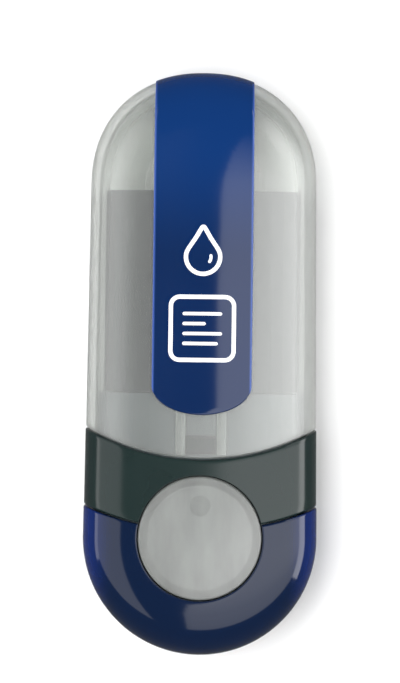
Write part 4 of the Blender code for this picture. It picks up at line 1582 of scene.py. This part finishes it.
    def skin_z(self, x: float, y: float) -> float:
        """Returns the height of the skin's front over a point."""
        form = self.form
        if y < form.handle_y:
            share = math.hypot(x, y - form.handle_y) / form.handle_half
        elif y > form.tip_y:
            power = form.tip_power
            share = (abs(x) ** power + (y - form.tip_y) ** power) ** (1 / power) / form.tip_half
        else:
            share = abs(x) / form.half_at(y, 0.0)
        return float(form.front_z(np.float64(min(share, 1.0)), 0.0))

    def collar(self) -> None:
        """Makes the graphite band between the two seams."""
        step = self.collar_step
        inner = step + self.wall + self.collar_extra
        high = Seam(self.cap_seam.centre_y, self.cap_seam.radius + self.seam_gap / 2)
        low = Seam(self.handle_seam.centre_y, self.handle_seam.radius - self.seam_gap / 2)
        width = low.radius - high.radius
        run = [i / self.band_steps for i in range(1, self.band_steps)]
        outer = [Station(step, high, -1, from_edge=width * share) for share in run]
        inside = [Station(inner, high, -1, from_edge=width * (1 - share)) for share in run]
        lip_low = lip(low, 1, step, inner, self.edge, self.inner_edge)
        lip_high = lip(high, -1, step, inner, self.edge, self.inner_edge)[::-1]
        stations = outer + lip_low + inside + lip_high
        mesh = self.shell(End.HANDLE, step).build("collar_skin", stations, ring=True)
        bore = self.bore(self.button_radius + self.bore_gap, self.form.middle_z)
        mesh = self.bench.combine(mesh, [(bore, "DIFFERENCE")])
        self.bench.piece(
            "collar_skin", mesh, Finish.GRAPHITE_ABS, Body.FRAME, "graphite_plastic", ["collar"]
        )

    def handle(self) -> None:
        """Makes the glossy round end with the button's hole in its front."""
        shell = self.end_shell("handle_skin", End.HANDLE, self.handle_seam, 0.0)
        bore = self.bore(self.button_radius + self.bore_gap, self.form.middle_z)
        mesh = self.bench.combine(shell, [(bore, "DIFFERENCE")])
        self.bench.piece(
            "handle_skin", mesh, Finish.NAVY_HANDLE, Body.HANDLE, "navy_gloss", ["handle_shell"]
        )

    def button(self) -> None:
        """Makes the milky button: a low dome with a rounded rim over a skirt, and a stem."""
        low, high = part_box("push_button")
        radius, dome, rim = self.button_radius, self.button_dome, self.button_rim
        inner, edge, fillet = radius - self.button_wall, self.skirt_edge, self.skirt_fillet
        ball = (radius**2 + dome**2) / (2 * dome)
        profile: list[tuple[float, float]] = []
        for step in range(15):
            r = (radius - rim) * step / 14
            profile.append((r, high.z - (ball - math.sqrt(ball**2 - r**2))))
        shoulder = profile[-1][1]
        for across, down in quarter(rim, 6):
            profile.append((radius - rim + across, shoulder - rim + down))
        top = high.z - dome - self.button_floor
        profile += [(radius, low.z + edge), (radius - edge, low.z), (inner + edge, low.z)]
        profile += [(inner, low.z + edge), (inner, top - fillet), (inner - fillet, top), (0.0, top)]
        cup = lathe("push_button_skin", profile, self.button_centre)
        thick, chamfer, root = self.stem_radius, 0.1 * self.stem_radius, top + 0.4 * MM
        foot = [(0.0, low.z), (thick - chamfer, low.z), (thick, low.z + chamfer)]
        place = self.button_centre + Vector((0, self.stem_shift, 0))
        stem = lathe("stem", [*foot, (thick, root), (0.0, root)], place, 32)
        mesh = self.bench.combine(cup, [(stem, "UNION")])
        self.bench.piece(
            "push_button_skin", mesh, Finish.MILKY_BUTTON, Body.BUTTON, "milky_button", ["push_button"]
        )


def grid_normals(grid: Array) -> Array:
    """Returns unit normals of a grid of points, pointing up on the stamp's front."""
    along = np.gradient(grid, axis=1)
    across = np.gradient(grid, axis=0)
    normals = np.cross(across, along)
    return normals / np.maximum(np.linalg.norm(normals, axis=2, keepdims=True), 1e-12)


@dataclass
class Mark:
    """The printed mark on the strip: an imprint frame with lines of print, and a drop of ink.

    Attributes:
        outside: Gives the strip's surface.
        stroke: The width of its lines.
        thickness: The lacquer's thickness.
        root: How deep the lacquer's lower face lies in the strip.
        frame_y: The middle of the frame.
        frame_half: Half the frame's width.
        frame_corner: The radius of its corners.
        bars: The bars in the frame: how far from its middle, and half as long as they are.
        bar_start: Where the bars start in X.
        drop_y: The middle of the drop.
        drop_radius: Its radius.
    """

    outside: Outside
    stroke: float = 0.62 * MM
    thickness: float = 0.015 * MM
    root: float = 0.05 * MM
    frame_y: float = 5.2 * MM
    frame_half: float = 4.6 * MM
    frame_corner: float = 1.3 * MM
    bars: tuple[tuple[float, float], ...] = ((-2.2, 2.6), (-0.75, 2.9), (0.7, 1.7), (2.15, 2.9))
    bar_start: float = -2.9 * MM
    drop_y: float = 16.4 * MM
    drop_radius: float = 2.5 * MM

    def line(self, points: Array, closed: bool, width: float) -> bpy.types.Mesh:
        """Draws one printed line with round ends, laid on the strip.

        Args:
            points: Its middle line in X and Y.
            closed: True where it returns to its start.
            width: Its width.

        Returns:
            The line's mesh.
        """
        if closed:
            before, after = np.roll(points, 1, axis=0), np.roll(points, -1, axis=0)
            heading = after - before
        else:
            heading = np.gradient(points, axis=0)
        heading = heading / np.linalg.norm(heading, axis=1, keepdims=True)
        sideways = np.stack([-heading[:, 1], heading[:, 0]], axis=1)
        half = np.full(len(points), width / 2)
        if not closed:
            length = np.concatenate([[0], np.cumsum(np.linalg.norm(np.diff(points, axis=0), axis=1))])
            near = np.minimum(length, length[-1] - length)
            inside = np.clip(near / (width / 2), 0.02, 1)
            half = width / 2 * np.sqrt(1 - (1 - inside) ** 2)
        surface = self.outside.skin_z
        lift = self.outside.strip_proud
        grid = []
        for spot, side, reach in zip(points, sideways, half):
            column = []
            for across, up in ((-1, 0), (-1, 1), (0, 1), (1, 1), (1, 0), (0, 0)):
                x, y = spot + side * reach * across
                z = surface(float(x), float(y)) + lift
                column.append((x, y, z + (self.thickness if up else -self.root)))
            column.append(column[0])
            grid.append(column)
        grid_array = np.array(grid)
        if closed:
            return mesh_of_grid("line", grid_array, ring=True)
        mesh = mesh_of_grid("line", grid_array)
        bm = bmesh.new()
        bm.from_mesh(mesh)
        bmesh.ops.holes_fill(bm, edges=[edge for edge in bm.edges if edge.is_boundary])
        return finished(bm, "line")

    def make(self) -> None:
        """Prints the mark."""
        frame = self.rounded_square(Vector((0, self.frame_y)), self.frame_half, self.frame_corner)
        parts = [self.line(frame, True, self.stroke)]
        for shift, reach in self.bars:
            y = self.frame_y + shift * MM
            ends = ((self.bar_start, y), (self.bar_start + 2 * reach * MM, y))
            parts.append(self.line(np.linspace(*np.array(ends), 48), False, 0.8 * self.stroke))
        drop = self.drop(Vector((0, self.drop_y)), self.drop_radius)
        parts.append(self.line(drop, True, self.stroke))
        glint_radius, glint_y = 1.15 * MM, self.drop_y - 0.8 * MM
        turn = np.linspace(-0.25 * math.pi, 0.12 * math.pi, 30)
        glint = np.stack([glint_radius * np.cos(turn), glint_y + glint_radius * np.sin(turn)], axis=1)
        parts.append(self.line(glint, False, 0.7 * self.stroke))
        mesh = merged(*parts)
        self.outside.bench.piece(
            "strip_printed_mark", mesh, Finish.WHITE_PRINT, Body.CAP, "blue_gloss", sharp=60
        )

    def rounded_square(self, centre: Vector, half: float, corner: float) -> Array:
        """Returns the points of a square with round corners."""
        points = []
        for index, (sx, sy) in enumerate(((1, 1), (-1, 1), (-1, -1), (1, -1))):
            middle = Vector((centre.x + sx * (half - corner), centre.y + sy * (half - corner)))
            for step in range(9):
                turn = math.pi / 2 * (index + step / 8)
                points.append((middle.x + corner * math.cos(turn), middle.y + corner * math.sin(turn)))
            following = ((-1, 1), (-1, -1), (1, -1), (1, 1))[index]
            reach = half - corner
            far = Vector((centre.x + following[0] * reach, centre.y + following[1] * reach))
            turn = math.pi / 2 * (index + 1)
            way = Vector((math.cos(turn), math.sin(turn))) * corner
            start, end = middle + way, far + way
            points += [tuple(start.lerp(end, step / 16)) for step in range(1, 16)]
        return np.array(points)

    def drop(self, centre: Vector, radius: float) -> Array:
        """Returns the points of a drop's outline, round below and pointed above."""
        points = []
        for step in range(96):
            turn = 2 * math.pi * (step + 0.5) / 96
            pull = max(math.sin(turn), 0.0) ** 3
            x = radius * math.cos(turn) * (1 - 0.55 * pull)
            y = radius * math.sin(turn) * (1 + 0.75 * pull) - 0.3 * radius
            points.append((centre.x + x, centre.y + y))
        return np.array(points)


# Inner pieces -------------------------------------------------------------------------------------
@dataclass
class Mechanism:
    """The springs, the felt, the foam and the plate, and the finishes of the CAD pieces that stay.

    Attributes:
        bench: Makes the pieces.
        wire: The main springs' wire.
        radius: The main springs' middle radius.
        turns: The main springs' turns.
        latch_wire: The latch spring's wire.
        latch_radius: The latch spring's middle radius.
        latch_turns: The latch spring's turns.
        crown: How far the felt's open face falls to its edges.
        kept: The CAD pieces that stay, with their finishes.
    """

    bench: Bench
    wire: float = 0.6 * MM
    radius: float = 2.7 * MM
    turns: int = 11
    latch_wire: float = 0.45 * MM
    latch_radius: float = 1.7 * MM
    latch_turns: int = 6
    crown: float = 0.25 * MM
    kept: dict[str, Finish] = field(
        default_factory=lambda: {
            "base_frame": Finish.GREY_ABS,
            "neck_sleeve": Finish.MILKY_SLEEVE,
            "slider_tube": Finish.BLACK_ACETAL,
            "carrier_yoke": Finish.BLACK_ACETAL,
            "ink_pad_tray": Finish.BLACK_ACETAL,
            "die_carrier": Finish.GREY_ABS,
            "latch_lever": Finish.GRAPHITE_ABS,
            "die_axle": Finish.SPRING_STEEL,
            "latch_pin": Finish.SPRING_STEEL,
            "cam_pin_left": Finish.SPRING_STEEL,
            "cam_pin_right": Finish.SPRING_STEEL,
        }
    )

    def dress(self, nodes: dict[str, bpy.types.Object]) -> None:
        """Gives each CAD piece that stays its own finish."""
        for name, finish in self.kept.items():
            slots = nodes[name].data.materials
            slots.clear()
            slots.append(self.bench.finishes.get(finish))

    def springs(self) -> None:
        """Winds the three springs and lays each between its seats, baked in place rather than riding on a
        body.
        """
        steel = self.bench.finishes.get(Finish.SPRING_STEEL)
        main = (Vector((0, 1, 0)), self.radius, self.wire, self.turns, Body.FRAME)
        latch = (Vector((0, 0, 1)), self.latch_radius, self.latch_wire, self.latch_turns, Body.LATCH)
        for node, (axis, radius, wire, turns, other) in (
            ("main_spring_left", main),
            ("main_spring_right", main),
            ("latch_spring", latch),
        ):
            low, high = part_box(node)
            middle, half = (low + high) / 2, (high - low) / 2
            start, end = middle - half.dot(axis) * axis, middle + half.dot(axis) * axis
            self.bench.piece(
                f"{node}_coil",
                Spring(start, end, radius, wire, turns).mesh(steel),
                Finish.SPRING_STEEL,
                Body.HANDLE,
                "spring_steel",
                [node],
                stretch=Stretch(other, start, end),
            )

    def soft_blocks(self) -> None:
        """Makes the inked felt, whose open face is crowned, and the foam under the printing plate."""
        for node, finish, body, slot, crown, fill in (
            ("ink_pad", Finish.INKED_FELT, Body.FRAME, "inked_felt", self.crown, 0.8),
            ("die_cushion", Finish.WHITE_FOAM, Body.DIE, "white_foam", 0.0, 0.9),
        ):
            low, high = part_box(node)
            block = SoftBlock(low, high, crown)
            name = f"{node}_block"
            made = self.bench.piece(
                name, block.mesh(self.bench.finishes.get(finish)), finish, body, slot, [node], sharp=80.0
            )

    def plate(self) -> None:
        """Makes the rubber plate, with rows of plain bars raised inside a raised border."""
        low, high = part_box("text_plate")
        relief = Relief(low, high)
        rubber = self.bench.finishes.get(Finish.DIE_RUBBER)
        self.bench.piece(
            "engraved_plate", relief.mesh(rubber), Finish.DIE_RUBBER, Body.DIE, "die_rubber", ["text_plate"]
        )


# Studio -------------------------------------------------------------------------------------------
@dataclass
class Studio:
    """The floor, the lights and the camera.

    Attributes:
        bench: Makes the floor.
        aim: The point under the middle of the view.
        height: How much of the plane at the stamp's widest line the view's height covers.
        distance: From the camera to that plane.
        roll_deg: How far the camera is turned about its own axis.
        middle_z: The height of the stamp's widest line.
        light_z: The height of the softboxes.
        left: Where the lights end on the left.
        right: Where they end on the right.
        foot: Where they end towards the handle.
        tip: Where the left softbox ends towards the tip.
        ambient: How bright the world is.
        paper_half: Half the width of the paper.
        right_y: Places along the right softbox.
        right_edge: Where its near edge lies at these places.
        right_radiance: How bright it is at these places.
        right_bands: How many lights it is made of.
    """

    bench: Bench
    aim: Vector
    height: float = 100.8 * MM
    distance: float = 0.8
    roll_deg: float = 0.7
    middle_z: float = 11 * MM
    light_z: float = 1.1
    left: float = -6.0
    right: float = 3.4
    foot: float = -1.5
    tip: float = 1.3
    ambient: float = 0.15
    paper_half: float = 3.0
    # The right softbox leans to the left at its foot and fades out towards the tip: at these Y its edge
    # lies at these X, and it is this bright.
    right_y: tuple[float, ...] = (-1.5, -0.72, -0.45, -0.2, 0.03, 0.1, 0.2, 0.32, 0.46)
    right_edge: tuple[float, ...] = (-0.18, -0.13, -0.06, 0.03, 0.052, 0.075, 0.12, 0.2, 0.32)
    right_radiance: tuple[float, ...] = (1.1, 1.4, 1.75, 1.9, 1.85, 1.35, 0.8, 0.35, 0.0)
    right_bands: int = 22

    def floor(self) -> None:
        """Lays the paper."""
        bm = bmesh.new()
        bmesh.ops.create_grid(bm, x_segments=2, y_segments=2, size=self.paper_half)
        paper = finished(bm, "paper")
        for face in paper.polygons:
            if face.normal.z < 0:
                paper.flip_normals()
                break
        paper.materials.append(self.bench.finishes.get(Finish.WHITE_PAPER))
        made = self.bench.scene_object(paper, "paper")
        made.visible_glossy = False
        made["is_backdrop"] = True

    def softbox(
        self, name: str, low: tuple[float, float], high: tuple[float, float], radiance: float
    ) -> bpy.types.Object:
        """Hangs a level rectangular light over the stamp.

        Args:
            name: The light's name.
            low: Its lowest X and Y.
            high: Its highest X and Y.
            radiance: How bright its face is, in watts per square metre and steradian.

        Returns:
            The light's object.
        """
        light = bpy.data.lights.new(name, "AREA")
        light.shape = "RECTANGLE"
        light.size, light.size_y = high[0] - low[0], high[1] - low[1]
        light.energy = radiance * math.pi * light.size * light.size_y
        made = bpy.data.objects.new(name, light)
        made.location = ((low[0] + high[0]) / 2, (low[1] + high[1]) / 2, self.light_z)
        bpy.context.scene.collection.objects.link(made)
        return made

    def lights(self) -> None:
        """Hangs the softboxes, the cards beside them and an upright panel at each side.

        The broad softbox on the right ends almost overhead, and the one on the left lies further out.
        """
        span = np.interp(
            np.linspace(0, len(self.right_y) - 1, self.right_bands + 1),
            range(len(self.right_y)),
            self.right_y,
        )
        for index, (low, high) in enumerate(zip(span, span[1:])):
            middle = (low + high) / 2
            edge = float(np.interp(middle, self.right_y, self.right_edge))
            radiance = float(np.interp(middle, self.right_y, self.right_radiance))
            name = f"softbox_right_{index}"
            self.softbox(name, (edge, float(low)), (self.right, float(high)), radiance)
        self.softbox("softbox_left", (self.left, self.foot), (-0.78, self.tip), 1.0)
        self.softbox("key_left", (-0.5, -0.3), (-0.05, 0.42), 12.0).visible_glossy = False
        # Cards that only the gloss sees, and then panels that stand upright at both sides.
        cards = [
            self.softbox("card_right_foot", (0.62, self.foot), (self.right, 0.1), 0.8),
            self.softbox("card_right_tip", (0.85, 0.1), (self.right, self.tip), 2.7),
            self.softbox("card_left_tip", (self.left, -0.1), (-0.9, self.tip), 0.7),
        ]
        for card in cards:
            card.visible_diffuse = False
        half_z = self.light_z / 2
        for name, x, turn, radiance in (
            ("side_right", self.right, 90, 3.6),
            ("side_left", self.left, -90, 2.0),
        ):
            side = self.softbox(name, (-half_z, self.foot), (half_z, 0.9), radiance)
            side.location = (x, side.location.y, half_z)
            side.rotation_euler = (0, math.radians(turn), 0)
        world = bpy.data.worlds.new("studio")
        bpy.context.scene.world = world
        world.use_nodes = True
        background = world.node_tree.nodes["Background"]
        background.inputs["Color"].default_value = linear("FFFFFF")
        background.inputs["Strength"].default_value = self.ambient

    def camera(self) -> None:
        """Hangs the camera straight over the stamp."""
        lens = bpy.data.cameras.new("camera")
        sensor = 36.0
        lens.sensor_width = sensor
        lens.sensor_height = sensor
        lens.lens = sensor * self.distance / self.height
        lens.clip_end = 20
        made = bpy.data.objects.new("camera", lens)
        made.location = (self.aim.x, self.aim.y, self.middle_z + self.distance)
        made.rotation_euler = (0, 0, math.radians(self.roll_deg))
        bpy.context.scene.collection.objects.link(made)
        bpy.context.scene.camera = made
        bpy.context.scene.view_settings.view_transform = "Standard"


def form_of_frame() -> Form:
    """Works the skin's form out from the frame.

    Returns:
        The form that the CAD's outer pieces share.
    """
    _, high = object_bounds()
    handle_low, handle_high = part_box("handle_shell")
    half = (handle_high.x - handle_low.x) / 2
    tip_half = half - TIP_LOSS
    return Form(
        handle_half=half,
        tip_half=tip_half,
        handle_y=handle_low.y + half,
        tip_y=high.y - tip_half - STRIP_PROUD,
        middle_z=(high.z - STRIP_PROUD) / 2,
    )


def main() -> None:
    """Builds the looks around the frame."""
    logging.basicConfig(level=logging.INFO, format="%(name)s: %(message)s")
    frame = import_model()
    bench = Bench(Finishes())
    form = form_of_frame()
    seam_centre = form.handle_y + SEAM_CENTRE_REACH
    outside = Outside(
        bench=bench,
        form=form,
        cap_seam=Seam(seam_centre, CAP_SEAM_RADIUS),
        handle_seam=Seam(seam_centre, HANDLE_SEAM_RADIUS),
        button_centre=Vector((0, form.handle_y + BUTTON_SHIFT, 0)),
    )
    mechanism = Mechanism(bench)
    mechanism.dress(frame["nodes"])
    mechanism.springs()
    mechanism.soft_blocks()
    mechanism.plate()
    outside.cap()
    outside.strip()
    Mark(outside).make()
    outside.collar()
    outside.handle()
    outside.button()
    studio = Studio(bench, aim=Vector((-0.3 * MM, 3.3 * MM)))
    studio.floor()
    studio.lights()
    studio.camera()
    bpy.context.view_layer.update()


if __name__ == "__main__":
    main()
